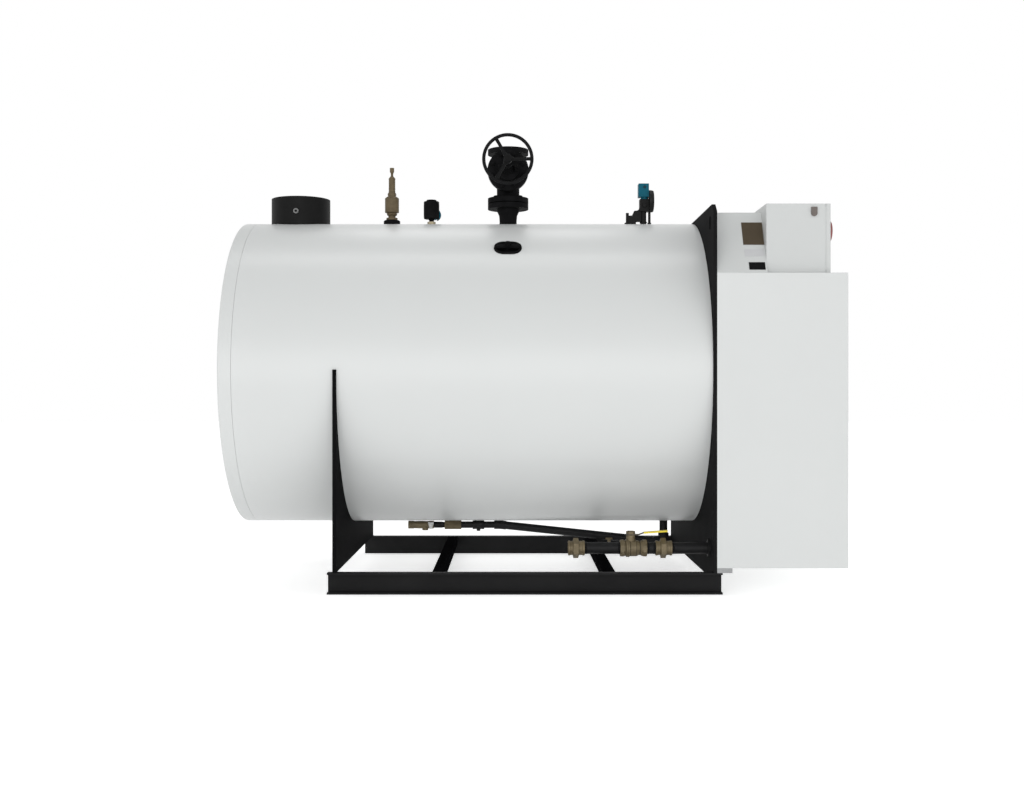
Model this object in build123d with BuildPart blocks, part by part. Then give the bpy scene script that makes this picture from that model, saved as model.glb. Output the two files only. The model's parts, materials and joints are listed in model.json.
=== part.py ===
from build123d import *
import os
from math import cos, hypot, radians, sin

os.makedirs("parts", exist_ok=True)

# Horizontal fire-tube boiler on a channel skid, in millimetres.
# +X runs to the control end, the near side is -Y, +Z is up and the floor is Z = 0.
# The origin is midway along the length, on the shell's centre plane, at floor level.

# Fits
seat_gap = 0.3
running_gap = 0.1
seam_gap = 0.8
overrun = 40.0

# Skid of two outward-facing channels and square cross tubes
rail_length = 1400.0
rail_height = 76.2
rail_width = 35.8
rail_web = 5.0
rail_flange = 6.9
rail_tip_inset = 1.5
rail_overhang = 20.0
cross_tube_side = 40.0
cross_tube_wall = 3.2
cross_tube_spacing = 612.0
cross_tube_offset = 3.0

# Shell, its insulated jacket and the smoke box behind it
jacket_radius = 590.0
jacket_length = 1758.0
jacket_skin = 3.0
insulation_thickness = 53.6
ground_clearance = 205.4
vessel_wall = 9.5
tube_sheet_thickness = 12.7
smokebox_length = 336.0
smokebox_wall = 5.0
rear_cover_band = 49.0
rear_cover_skin = 3.0
rear_cover_edge = 5.0
nozzle_hole_gap = 1.0

# End plates
plate_thickness = 12.7
plate_margin = 9.0
front_plate_corner_y = 40.0
front_plate_corner_z = 30.0
front_plate_tongue = 27.0
lifting_hole_radius = 25.0
lifting_hole_inset_y = 82.0
lifting_hole_inset_z = 61.0

# Burner enclosure, its hood and the control cabinet
sheet = 2.5
enclosure_length = 462.8
enclosure_lift = 17.3
enclosure_panel_return = 22.0
hood_length = 178.8
hood_height = 230.0
hood_drop = 17.4
hood_ridge_inset = 125.0
bracket_length = 54.0
bracket_width = 46.0
cabinet_depth = 212.4
cabinet_inset = 25.0
cabinet_height = 247.8
door_depth = 15.6
door_seam = 1.5
hinge_pin_radius = 3.0
hinge_knuckle_radius = 6.0
hinge_knuckle_height = 26.0
hinge_leaf_depth = 24.0
hinge_leaf_sheet = 3.0
hinge_height_shares = (0.16, 0.74)
latch_width = 21.5
latch_height = 33.0
latch_depth = 6.0
latch_back = 43.0
latch_drop = 12.4
switch_inset_y = 50.0
switch_drop = 93.3
switch_bezel_radius = 30.0
switch_bezel_depth = 2.5
switch_knob_radius = 37.5
switch_knob_depth = 9.2
switch_knob_shares = ((0.0, 0.0), (1.0, 0.0), (1.0, 0.7), (0.96, 0.88), (0.86, 1.0), (0.0, 1.0))
switch_grip_width = 13.0
switch_pocket_floor = 3.4
switch_pocket_reach = 24.0
switch_spindle_radius = 5.0

# Label plates on the hood's near slope: width, height up the slope, top's distance down the slope,
# front edge's distance from the hood's front end
label_plate_sheet = 1.0
label_plates = {
    "hood_brown_plate": (75.2, 97.6, 44.7, 1.0),
    "hood_white_plate": (68.0, 29.4, 162.3, 6.4),
    "hood_black_plate": (57.4, 31.5, 218.0, 6.2),
}

# Flue collar and its test port
flue_station = 200.05
flue_radius = 116.0
flue_wall = 4.0
flue_rise = 101.1
port_radius = 10.3
port_bore = 5.0
port_length = 9.0
port_drop = 60.0

# Safety valve
safety_station = 564.55
safety_base_radius = 32.9
safety_base_height = 20.6
safety_stub_share = 0.7
safety_height = 209.3
safety_radius = 27.8
safety_outlet_radius = 21.0
safety_outlet_bore = 13.5
safety_outlet_length = 52.0
safety_outlet_rise = 58.0
safety_base_shares = ((0.0, 0.0), (1.0, 0.0), (1.0, 0.81), (0.83, 1.0), (0.0, 1.0))
safety_shares = (
    (0.0, 0.0), (0.8, 0.0), (0.8, 0.042), (0.515, 0.05), (0.515, 0.077), (0.7, 0.098), (0.7, 0.137),
    (1.0, 0.147), (1.0, 0.418), (0.72, 0.446), (0.57, 0.458), (0.57, 0.521), (0.465, 0.53), (0.465, 0.8),
    (0.29, 0.83), (0.18, 0.845), (0.18, 0.893), (0.31, 0.93), (0.31, 1.0), (0.0, 1.0),
)

# Air vent with its side cap
vent_station = 722.95
vent_base_radius = 16.6
vent_base_height = 14.1
vent_stub_share = 0.6
vent_radius = 30.6
vent_height = 87.4
vent_cap_radius = 25.0
vent_cap_depth = 22.0
vent_cap_rise = 29.6
vent_cap_shift = 12.5
vent_shares = ((0.0, 0.0), (0.3, 0.0), (0.3, 0.06), (0.42, 0.135), (0.95, 0.14), (1.0, 0.165), (1.0, 0.91),
               (0.93, 0.93), (0.64, 0.935), (0.64, 1.0), (0.0, 1.0))

# Steam nozzle and its globe valve
steam_station = 1030.15
steam_pipe_radius = 34.4
steam_pipe_bore = 26.2
flange_radius = 81.0
flange_thickness = 20.0
flange_face_radius = 46.0
flange_face_height = 1.6
flange_joint_rise = 85.3
flange_hub_radius = 45.0
flange_hub_height = 46.0
flange_bolt_circle_radius = 62.5
flange_bolt_hole_radius = 9.0
flange_bolt_count = 4
valve_face_to_face = 218.3
valve_axis_rise = 119.3
valve_neck_radius = 45.0
valve_globe_radius = 66.0
bonnet_joint_reach = 81.0
bonnet_flange_radius = 80.8
bonnet_flange_thickness = 19.0
bonnet_dome_radius = 44.0
bonnet_dome_reach = 30.0
gland_radius = 19.0
gland_reach = 34.0
yoke_spread = 31.0
yoke_arm_width = 22.0
yoke_arm_thickness = 11.0
yoke_bush_radius = 20.0
yoke_bush_length = 26.0
yoke_reach = 288.0
stem_radius = 9.5
stem_seat_reach = 20.0
stem_end_reach = 12.0
handwheel_radius = 96.6
handwheel_reach = 333.0
handwheel_rim_radius = 6.4
handwheel_hub_radius = 17.0
handwheel_hub_length = 24.0
handwheel_spoke_width = 12.0
handwheel_spoke_thickness = 7.0
handwheel_spoke_count = 3

# Handhole, square to the shell and leaning to the near side
handhole_lean = 39.4
handhole_length = 102.0
handhole_width = 78.0
handhole_corner = 36.0
handhole_wall = 7.0
handhole_proud = 4.0
handhole_cover_depth = 26.0
handhole_cover_thickness = 10.0
handhole_yoke_width = 17.0
handhole_yoke_thickness = 9.0
handhole_stud_radius = 6.0
handhole_nut_radius = 12.0
handhole_nut_height = 11.0
handhole_stud_tail = 3.0

# Pressure trim above the control end of the shell
trim_setback = 185.85
trim_pipe_radius = 12.0
trim_riser_height = 54.6
trim_block_back = 15.4
trim_block_front = 22.0
trim_block_width = 36.0
trim_block_height = 48.8
trim_neck_radius = 14.8
trim_neck_shift = 4.2
trim_neck_height = 9.0
transmitter_length = 41.0
transmitter_width = 43.0
transmitter_height = 52.8
gauge_radius = 44.5
gauge_depth = 20.0
gauge_rise = 96.7
gauge_stem_radius = 16.0
gauge_stem_length = 0.5
gauge_shares = ((0.0, 0.0), (1.0, 0.0), (1.0, 0.3), (0.96, 0.72), (0.9, 0.84), (0.75, 0.93), (0.5, 0.98),
                (0.0, 1.0))
branch_shift = 63.9
branch_width = 24.0
branch_height = 74.0
branch_stub_radius = 6.0
branch_stub_height = 49.8
branch_shares = (
    (-0.19, 0.0), (-0.19, 0.09), (-0.09, 0.16), (0.0, 0.16), (0.0, 0.5), (0.285, 0.513), (0.42, 0.765),
    (0.6, 0.78), (0.7, 0.833), (0.775, 1.0), (0.86, 1.0), (0.86, 0.195), (0.58, 0.19), (0.52, 0.112),
    (0.52, 0.0),
)
probe_shift = 24.1
probe_radius = 5.2
probe_foot_radius = 7.8
probe_foot_height = 10.0

# Feed line along the near rail
feed_plate_inset = 89.0
feed_lift = 78.2
feed_pipe_radius = 21.1
feed_pipe_bore = 17.5
feed_fitting_radius = 25.5
feed_nut_radius = 36.5
feed_nut_turn = 90.0
feed_nut_width = 18.0
feed_nut_share = 0.47
feed_union_length = 59.5
feed_valve_length = 96.0
feed_valve_ball_radius = 33.0
feed_outer_nipple = 127.5
feed_middle_nipple = 31.5
feed_inner_nipple = 136.5
feed_tail = 60.0
feed_collar_radius = 30.0
feed_collar_length = 8.0
feed_socket_depth = 18.0
feed_socket_radius = 20.6
feed_stem_share = 0.401
lever_boss_radius = 16.0
lever_boss_height = 47.0
lever_stem_radius = 5.0
lever_cap_radius = 16.5
lever_cap_height = 10.9
lever_length = 132.8
lever_width = 20.0
lever_thickness = 3.0
lever_eye = 16.2
lever_bend_start = 30.0
lever_bend_end = 46.4
lever_bend_rise = 6.2
lever_tip_rise = 12.6
lever_grip_width = 22.0
lever_grip_overhang = 1.2
feed_valve_shares = (
    (0.0, 0.0), (0.88, 0.0), (0.88, 0.18), (0.82, 0.2), (0.98, 0.23), (0.98, 0.34), (0.9, 0.37),
    (0.9, 0.6), (0.76, 0.72), (0.76, 0.76), (0.88, 0.82), (0.88, 1.0), (0.0, 1.0),
)

# Drain line under the shell
drain_setback = 105.25
drain_pipe_radius = 13.35
drain_pipe_bore = 10.5
drain_fitting_radius = 17.5
drain_fitting_reach = 24.0
drain_drop_radius = 15.8
drain_drop_fitting_radius = 21.0
drain_drop_fitting_reach = 37.0
drain_low_rise = 117.0
drain_high_rise = 186.0
drain_end_room = 206.95
drain_nipple_one = 40.0
drain_tee_length = 46.0
drain_nipple_two = 46.0
drain_coupling_length = 66.0
drain_coupling_radius = 19.5
drain_reducer_length = 44.0
drain_reducer_radius = 12.5
drain_valve_length = 102.0
drain_valve_ball_radius = 17.0
drain_socket_depth = 16.0
drain_valve_shares = ((0.0, 0.0), (0.9, 0.0), (0.9, 0.2), (0.85, 0.24), (0.9, 0.42), (0.9, 0.58),
                      (0.85, 0.76), (0.92, 0.8), (0.92, 1.0), (0.0, 1.0))
drain_plug_radius = 7.5
drain_plug_drop = 7.0
drain_boss_radius = 9.0
drain_boss_reach = 26.0
drain_stem_radius = 4.0
drain_stem_share = 0.1
drain_bulge_share = 0.336
drain_bulge_radius = 12.0
drain_bulge_drop = 21.6
drain_handle_width = 24.0
drain_handle_tip_width = 10.0
drain_handle_rise = 12.5
drain_handle_drop = 13.5
drain_handle_thickness = 5.0
drain_clip_setback = 324.0
drain_clip_radius = 15.0
drain_clip_height = 7.2
drain_clip_lift = 11.0
drain_clip_stud_radius = 7.0
drain_clip_stud_drop = 10.5
drain_clip_offset = 9.0

# Places that follow from the sizes
overall_length = jacket_length + plate_thickness + enclosure_length
rear_x = -overall_length / 2
plate_back_x = rear_x + jacket_length
plate_front_x = plate_back_x + plate_thickness
half_width = jacket_radius + plate_margin
axis_z = ground_clearance + jacket_radius
shell_top_z = axis_z + jacket_radius
vessel_radius = jacket_radius - jacket_skin - insulation_thickness
vessel_top_z = axis_z + vessel_radius
vessel_rear_x = rear_x + smokebox_length
rail_tip_y = half_width - rail_tip_inset
rail_front_x = plate_front_x + rail_overhang
rail_rear_x = rail_front_x - rail_length
saddle_x = rail_rear_x + rail_overhang
enclosure_bottom_z = rail_height + enclosure_lift
hood_top_z = shell_top_z - hood_drop
enclosure_top_z = hood_top_z - hood_height
enclosure_front_x = plate_front_x + enclosure_length
hood_front_x = plate_front_x + hood_length
cabinet_front_x = hood_front_x + cabinet_depth
cabinet_half_width = half_width - cabinet_inset
cabinet_top_z = enclosure_top_z + cabinet_height
door_front_x = cabinet_front_x + door_depth
valve_bottom_z = shell_top_z + flange_joint_rise
valve_axis_z = valve_bottom_z + valve_axis_rise
valve_top_z = valve_bottom_z + valve_face_to_face
flue_x = rear_x + flue_station
safety_x = rear_x + safety_station
vent_x = rear_x + vent_station
steam_x = rear_x + steam_station
trim_x = plate_back_x - trim_setback
drain_x = plate_back_x - drain_setback
drain_end_x = saddle_x + plate_thickness + drain_end_room
drain_valve_x = drain_end_x + drain_valve_length
drain_reducer_x = drain_valve_x + drain_reducer_length
drain_coupling_x = drain_reducer_x + drain_coupling_length
drain_tee_x = drain_coupling_x + drain_nipple_two + drain_tee_length
drain_high_x = drain_tee_x + drain_nipple_one + drain_fitting_reach
feed_y = -(half_width - feed_plate_inset)
feed_z = rail_height + feed_lift
sides = {"near": -1, "far": 1}


def save(piece, name):
    """Labels a finished piece and writes it."""
    piece.part.label = name
    export_step(piece.part, os.path.join("parts", name + ".step"))


def along_x(x, y, z):
    """A plane facing +X at a point."""
    return Plane(origin=(x, y, z), x_dir=(0, 1, 0), z_dir=(1, 0, 0))


def along_minus_x(x, y, z):
    """A plane facing -X at a point."""
    return Plane(origin=(x, y, z), x_dir=(0, 1, 0), z_dir=(-1, 0, 0))


def toward_viewer(x, y, z):
    """A plane facing -Y at a point."""
    return Plane(origin=(x, y, z), x_dir=(1, 0, 0), z_dir=(0, -1, 0))


def upward(x, y, z):
    """A plane facing +Z at a point."""
    return Plane(origin=(x, y, z), x_dir=(1, 0, 0), z_dir=(0, 0, 1))


def downward(x, y, z):
    """A plane facing -Z at a point."""
    return Plane(origin=(x, y, z), x_dir=(1, 0, 0), z_dir=(0, 0, -1))


def bar(plane, length, radius, mode=Mode.ADD):
    """Round bar, or round cut, standing on a plane."""
    with BuildSketch(plane) as section:
        Circle(radius)
    extrude(section.sketch, amount=length, mode=mode)


def block(plane, width, height, length, mode=Mode.ADD):
    """Rectangular bar, or cut, centred on a plane and standing on it."""
    with BuildSketch(plane) as section:
        Rectangle(width, height)
    extrude(section.sketch, amount=length, mode=mode)


def hexagon(plane, length, radius, turn=0.0):
    """Hexagonal bar standing on a plane; the radius is to its corners."""
    with BuildSketch(plane) as section:
        RegularPolygon(radius, 6, rotation=turn)
    extrude(section.sketch, amount=length)


def spin(plane, radius, height, shares):
    """Turned piece standing on a plane, from outline points in shares of its radius and height."""
    upright = Plane(origin=plane.origin, x_dir=plane.x_dir, z_dir=plane.y_dir * -1)
    with BuildSketch(upright) as half:
        with BuildLine():
            Polyline([(radius * r, height * h) for r, h in shares], close=True)
        make_face()
    revolve(half.sketch, axis=Axis(plane.origin, plane.z_dir))


def flange(plane):
    """Pipe flange standing on a plane, with its raised face on top."""
    bar(plane, flange_thickness, flange_radius)
    bar(plane, flange_thickness + flange_face_height, flange_face_radius)


def clear_of_vessel(radius=vessel_radius + seat_gap):
    """Cuts the seat that a nozzle needs to stand on the round vessel."""
    bar(along_x(rear_x - overrun, 0, axis_z), overall_length + overrun, radius, Mode.SUBTRACT)


def handhole_plane(distance):
    """Plane square to the shell at the handhole, at a distance from the shell's axis."""
    lean = radians(handhole_lean)
    out = (0, -sin(lean), cos(lean))
    return Plane(
        origin=(steam_x, -sin(lean) * distance, axis_z + cos(lean) * distance),
        x_dir=(1, 0, 0),
        z_dir=out,
    )


def handhole_bar(distance, length, growth, mode=Mode.ADD):
    """Bar, or cut, with the handhole's rounded outline, grown or shrunk all round."""
    with BuildSketch(handhole_plane(distance)) as outline:
        RectangleRounded(handhole_length + 2 * growth, handhole_width + 2 * growth, handhole_corner + growth)
    extrude(outline.sketch, amount=length, mode=mode)


def make_skid():
    """Channel rails and the square tubes between their webs."""
    web_y = rail_tip_y - rail_width
    for name, side in sides.items():
        with BuildPart() as rail:
            with BuildSketch(along_x(rail_rear_x, 0, 0)) as section:
                with BuildLine():
                    Polyline(
                        (side * web_y, 0),
                        (side * rail_tip_y, 0),
                        (side * rail_tip_y, rail_flange),
                        (side * (web_y + rail_web), rail_flange),
                        (side * (web_y + rail_web), rail_height - rail_flange),
                        (side * rail_tip_y, rail_height - rail_flange),
                        (side * rail_tip_y, rail_height),
                        (side * web_y, rail_height),
                        close=True,
                    )
                make_face()
            extrude(amount=rail_length)
        save(rail, name + "_base_rail")
    middle_x = (rail_front_x + rail_rear_x) / 2 - cross_tube_offset
    tube_xs = (middle_x - cross_tube_spacing / 2, middle_x + cross_tube_spacing / 2)
    inner = cross_tube_side - 2 * cross_tube_wall
    with BuildPart() as tubes:
        for x in tube_xs:
            base = toward_viewer(x, web_y, rail_height - cross_tube_side / 2)
            block(base, cross_tube_side, cross_tube_side, 2 * web_y)
            block(base, inner, inner, 2 * web_y, Mode.SUBTRACT)
    save(tubes, "cross_tubes")


def make_rear_saddle():
    """Upright plate with a half-round cut that carries the shell."""
    with BuildPart() as saddle:
        with BuildSketch(along_x(saddle_x, 0, 0)):
            with Locations((0, (axis_z + rail_height) / 2)):
                Rectangle(2 * half_width, axis_z - rail_height)
            with Locations((0, axis_z)):
                Circle(jacket_radius + seat_gap, mode=Mode.SUBTRACT)
        extrude(amount=plate_thickness)
    save(saddle, "rear_saddle_plate")


def make_front_plate():
    """Upright plate with cut corners, lifting holes, the feed pipe's hole and a tongue between the rails."""
    half = half_width
    shoulder_y = half - front_plate_corner_y
    shoulder_z = shell_top_z - front_plate_corner_z
    tongue_y = rail_tip_y - rail_width - seam_gap
    with BuildPart() as plate:
        with BuildSketch(along_x(plate_back_x, 0, 0)):
            with BuildLine():
                Polyline(
                    (-half, rail_height),
                    (-tongue_y, rail_height),
                    (-tongue_y, rail_height - front_plate_tongue),
                    (tongue_y, rail_height - front_plate_tongue),
                    (tongue_y, rail_height),
                    (half, rail_height),
                    (half, shoulder_z),
                    (shoulder_y, shell_top_z),
                    (-shoulder_y, shell_top_z),
                    (-half, shoulder_z),
                    close=True,
                )
            make_face()
            for side in sides.values():
                with Locations((side * (half - lifting_hole_inset_y), shell_top_z - lifting_hole_inset_z)):
                    Circle(lifting_hole_radius, mode=Mode.SUBTRACT)
            with Locations((feed_y, feed_z)):
                Circle(feed_pipe_radius + seat_gap, mode=Mode.SUBTRACT)
        extrude(amount=plate_thickness)
    save(plate, "front_plate")


def make_shell():
    """Jacket, rear cover, pressure vessel and smoke box."""
    holes = {
        flue_x: flue_radius,
        safety_x: safety_base_radius * safety_stub_share,
        vent_x: vent_base_radius * vent_stub_share,
        steam_x: steam_pipe_radius,
        trim_x: trim_pipe_radius,
        trim_x - branch_shift: branch_stub_radius,
        trim_x + probe_shift: probe_radius,
    }
    with BuildPart() as jacket:
        start = rear_x + rear_cover_band + seam_gap
        base = along_x(start, 0, axis_z)
        bar(base, plate_back_x - start, jacket_radius)
        bar(base, plate_back_x - start, jacket_radius - jacket_skin, Mode.SUBTRACT)
        for x, radius in holes.items():
            bar(upward(x, 0, axis_z), jacket_radius + overrun, radius + nozzle_hole_gap, Mode.SUBTRACT)
        bar(downward(drain_x, 0, axis_z), jacket_radius + overrun,
            drain_drop_radius + nozzle_hole_gap, Mode.SUBTRACT)
        handhole_bar(vessel_radius, jacket_radius - vessel_radius + overrun, nozzle_hole_gap, Mode.SUBTRACT)
    save(jacket, "jacket")

    with BuildPart() as cover:
        bar(along_x(rear_x, 0, axis_z), rear_cover_band, jacket_radius)
        rim = cover.edges().filter_by(GeomType.CIRCLE).group_by(Axis.X)[0]
        fillet(rim, rear_cover_edge)
        bar(along_x(rear_x + rear_cover_skin, 0, axis_z), rear_cover_band, jacket_radius - rear_cover_edge,
            Mode.SUBTRACT)
    save(cover, "rear_cover")

    with BuildPart() as smokebox:
        start = rear_x + rear_cover_skin
        length = vessel_rear_x - start
        bar(along_x(start, 0, axis_z), length, vessel_radius)
        bar(along_x(start, 0, axis_z), length, vessel_radius - smokebox_wall, Mode.SUBTRACT)
        bar(upward(flue_x, 0, axis_z), vessel_radius + overrun, flue_radius - flue_wall + nozzle_hole_gap,
            Mode.SUBTRACT)
    save(smokebox, "smoke_box")

    with BuildPart() as vessel:
        start = vessel_rear_x + tube_sheet_thickness
        bar(along_x(vessel_rear_x, 0, axis_z), plate_back_x - vessel_rear_x, vessel_radius)
        bar(along_x(start, 0, axis_z), plate_back_x - start, vessel_radius - vessel_wall, Mode.SUBTRACT)
        bar(upward(steam_x, 0, axis_z), vessel_radius + overrun, steam_pipe_bore, Mode.SUBTRACT)
    save(vessel, "pressure_vessel")


def make_flue():
    """Open flue collar with a test port on its near side."""
    base_z = vessel_top_z + seat_gap
    top_z = shell_top_z + flue_rise
    with BuildPart() as collar:
        bar(upward(flue_x, 0, base_z), top_z - base_z, flue_radius)
        bar(upward(flue_x, 0, base_z), top_z - base_z, flue_radius - flue_wall, Mode.SUBTRACT)
    save(collar, "flue_collar")
    with BuildPart() as port:
        port_z = top_z - port_drop
        bar(toward_viewer(flue_x, 0, port_z), flue_radius + port_length, port_radius)
        bar(toward_viewer(flue_x, 0, port_z), flue_radius + port_length, port_bore, Mode.SUBTRACT)
        bar(upward(flue_x, 0, base_z), top_z - base_z, flue_radius + seat_gap, Mode.SUBTRACT)
    save(port, "flue_test_port")


def make_safety_valve():
    """Turned valve on a round base, with its outlet to the far side."""
    base_top_z = shell_top_z + safety_base_height
    with BuildPart() as base:
        bar(upward(safety_x, 0, axis_z), base_top_z - axis_z, safety_base_radius * safety_stub_share)
        spin(upward(safety_x, 0, shell_top_z), safety_base_radius, safety_base_height, safety_base_shares)
        clear_of_vessel()
    save(base, "safety_valve_base")
    with BuildPart() as valve:
        spin(upward(safety_x, 0, base_top_z), safety_radius, safety_height, safety_shares)
        outlet = toward_viewer(safety_x, safety_outlet_length, base_top_z + safety_outlet_rise)
        bar(outlet, safety_outlet_length, safety_outlet_radius)
        bar(outlet, safety_outlet_length - safety_outlet_bore, safety_outlet_bore, Mode.SUBTRACT)
    save(valve, "safety_valve")


def make_air_vent():
    """Round vent on a hexagonal base, with a round cap behind its shoulder."""
    base_top_z = shell_top_z + vent_base_height
    with BuildPart() as base:
        bar(upward(vent_x, 0, axis_z), shell_top_z - axis_z + seat_gap, vent_base_radius * vent_stub_share)
        hexagon(upward(vent_x, 0, shell_top_z + seat_gap), vent_base_height - seat_gap, vent_base_radius)
        clear_of_vessel()
    save(base, "air_vent_base")
    with BuildPart() as body:
        spin(upward(vent_x, 0, base_top_z), vent_radius, vent_height, vent_shares)
    save(body, "air_vent")
    with BuildPart() as cap:
        face = toward_viewer(vent_x + vent_cap_shift, vent_cap_depth, base_top_z + vent_cap_rise)
        bar(face, vent_cap_depth, vent_cap_radius)
        bar(upward(vent_x, 0, base_top_z), vent_height, vent_radius + seat_gap, Mode.SUBTRACT)
    save(cap, "air_vent_cap")


def make_steam_nozzle():
    """Pipe and weld-neck flange that carry the steam valve."""
    flange_z = valve_bottom_z - flange_face_height - flange_thickness
    with BuildPart() as nozzle:
        bar(upward(steam_x, 0, axis_z), flange_z - axis_z, steam_pipe_radius)
        flange(upward(steam_x, 0, flange_z))
        spin(
            upward(steam_x, 0, flange_z - flange_hub_height),
            flange_hub_radius,
            flange_hub_height,
            ((0.0, 0.0), (steam_pipe_radius / flange_hub_radius, 0.0), (0.8, 0.43), (0.88, 0.61),
             (0.945, 0.74), (1.0, 1.0), (0.0, 1.0)),
        )
        bar(upward(steam_x, 0, axis_z), valve_bottom_z - axis_z, steam_pipe_bore, Mode.SUBTRACT)
        clear_of_vessel()
    save(nozzle, "steam_nozzle")


def make_steam_valve():
    """Globe valve with a vertical run and its stem toward the near side."""
    with BuildPart() as body:
        flange_depth = flange_face_height + flange_thickness
        flange(downward(steam_x, 0, valve_bottom_z + flange_depth))
        bar(upward(steam_x, 0, valve_bottom_z + flange_depth), valve_face_to_face - 2 * flange_depth,
            valve_neck_radius)
        flange(upward(steam_x, 0, valve_top_z - flange_depth))
        back = toward_viewer(steam_x, valve_globe_radius, valve_axis_z)
        spin(
            back,
            valve_globe_radius,
            valve_globe_radius + bonnet_joint_reach - bonnet_flange_thickness,
            ((0.0, 0.0), (0.44, 0.03), (0.74, 0.13), (0.93, 0.29), (1.0, 0.5), (0.97, 0.69),
             (0.86, 0.86), (0.84, 1.0), (0.0, 1.0)),
        )
        bar(toward_viewer(steam_x, bonnet_flange_thickness - bonnet_joint_reach, valve_axis_z),
            bonnet_flange_thickness, bonnet_flange_radius)
        bar(upward(steam_x, 0, valve_top_z - flange_depth), flange_depth, steam_pipe_bore, Mode.SUBTRACT)
        bar(upward(steam_x, 0, valve_bottom_z), flange_depth, steam_pipe_bore, Mode.SUBTRACT)
        bar(toward_viewer(steam_x, 0, valve_axis_z), bonnet_joint_reach, stem_radius + seat_gap,
            Mode.SUBTRACT)
        with BuildSketch(upward(steam_x, 0, valve_top_z - flange_depth)) as holes:
            with PolarLocations(flange_bolt_circle_radius, flange_bolt_count, start_angle=45):
                Circle(flange_bolt_hole_radius)
        extrude(holes.sketch, amount=flange_thickness, mode=Mode.SUBTRACT)
    save(body, "steam_valve_body")

    arm_start = bonnet_joint_reach + bonnet_flange_thickness
    with BuildPart() as bonnet:
        joint = toward_viewer(steam_x, -bonnet_joint_reach, valve_axis_z)
        bar(joint, bonnet_flange_thickness, bonnet_flange_radius)
        bar(joint, bonnet_flange_thickness + bonnet_dome_reach, bonnet_dome_radius)
        bar(joint, bonnet_flange_thickness + bonnet_dome_reach + gland_reach, gland_radius)
        bush = toward_viewer(steam_x, -(yoke_reach - yoke_bush_length), valve_axis_z)
        bar(bush, yoke_bush_length, yoke_bush_radius)
        for side in sides.values():
            arm = toward_viewer(steam_x + side * yoke_spread, -arm_start, valve_axis_z)
            block(arm, yoke_arm_thickness, yoke_arm_width, yoke_reach - arm_start)
        bridge = toward_viewer(steam_x, -(yoke_reach - yoke_arm_thickness), valve_axis_z)
        block(bridge, 2 * yoke_spread + yoke_arm_thickness, yoke_arm_width, yoke_arm_thickness)
        bar(joint, yoke_reach, stem_radius + running_gap, Mode.SUBTRACT)
    save(bonnet, "valve_bonnet_and_yoke")

    stem_end = handwheel_reach + handwheel_hub_length / 2 + stem_end_reach
    with BuildPart() as stem:
        bar(toward_viewer(steam_x, -stem_seat_reach, valve_axis_z), stem_end - stem_seat_reach, stem_radius)
    save(stem, "valve_stem")

    with BuildPart() as wheel:
        rim_axis_radius = handwheel_radius - handwheel_rim_radius
        hub = toward_viewer(steam_x, -(handwheel_reach - handwheel_hub_length / 2), valve_axis_z)
        bar(hub, handwheel_hub_length, handwheel_hub_radius)
        rim_section = Plane(
            origin=(steam_x + rim_axis_radius, -handwheel_reach, valve_axis_z),
            x_dir=(1, 0, 0),
            z_dir=(0, 0, 1),
        )
        with BuildSketch(rim_section) as rim:
            Circle(handwheel_rim_radius)
        revolve(rim.sketch, axis=Axis((steam_x, -handwheel_reach, valve_axis_z), (0, -1, 0)))
        spoke_back = handwheel_reach - handwheel_spoke_thickness / 2
        with BuildSketch(toward_viewer(steam_x, -spoke_back, valve_axis_z)) as spokes:
            with PolarLocations(rim_axis_radius / 2, handwheel_spoke_count):
                Rectangle(rim_axis_radius, handwheel_spoke_width)
        extrude(spokes.sketch, amount=handwheel_spoke_thickness)
        bar(hub, handwheel_hub_length, stem_radius + running_gap, Mode.SUBTRACT)
    save(wheel, "handwheel")


def make_handhole():
    """Oval sleeve through the insulation, its cover, and the yoke that pulls the cover shut."""
    rim_distance = jacket_radius + handhole_proud
    foot_distance = vessel_radius * cos(radians(handhole_lean))
    with BuildPart() as sleeve:
        handhole_bar(foot_distance, rim_distance - foot_distance, 0)
        handhole_bar(foot_distance, rim_distance - foot_distance, -handhole_wall, Mode.SUBTRACT)
        clear_of_vessel()
    save(sleeve, "handhole_sleeve")
    cover_distance = jacket_radius - handhole_cover_depth
    with BuildPart() as cover:
        handhole_bar(cover_distance - handhole_cover_thickness, handhole_cover_thickness,
                     -handhole_wall - seat_gap)
    save(cover, "handhole_cover")
    with BuildPart() as yoke:
        block(handhole_plane(rim_distance), handhole_length - handhole_wall, handhole_yoke_width,
              handhole_yoke_thickness)
        top = rim_distance + handhole_yoke_thickness
        bar(handhole_plane(cover_distance), top + handhole_nut_height + handhole_stud_tail - cover_distance,
            handhole_stud_radius)
        hexagon(handhole_plane(top), handhole_nut_height, handhole_nut_radius)
    save(yoke, "handhole_yoke")


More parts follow.
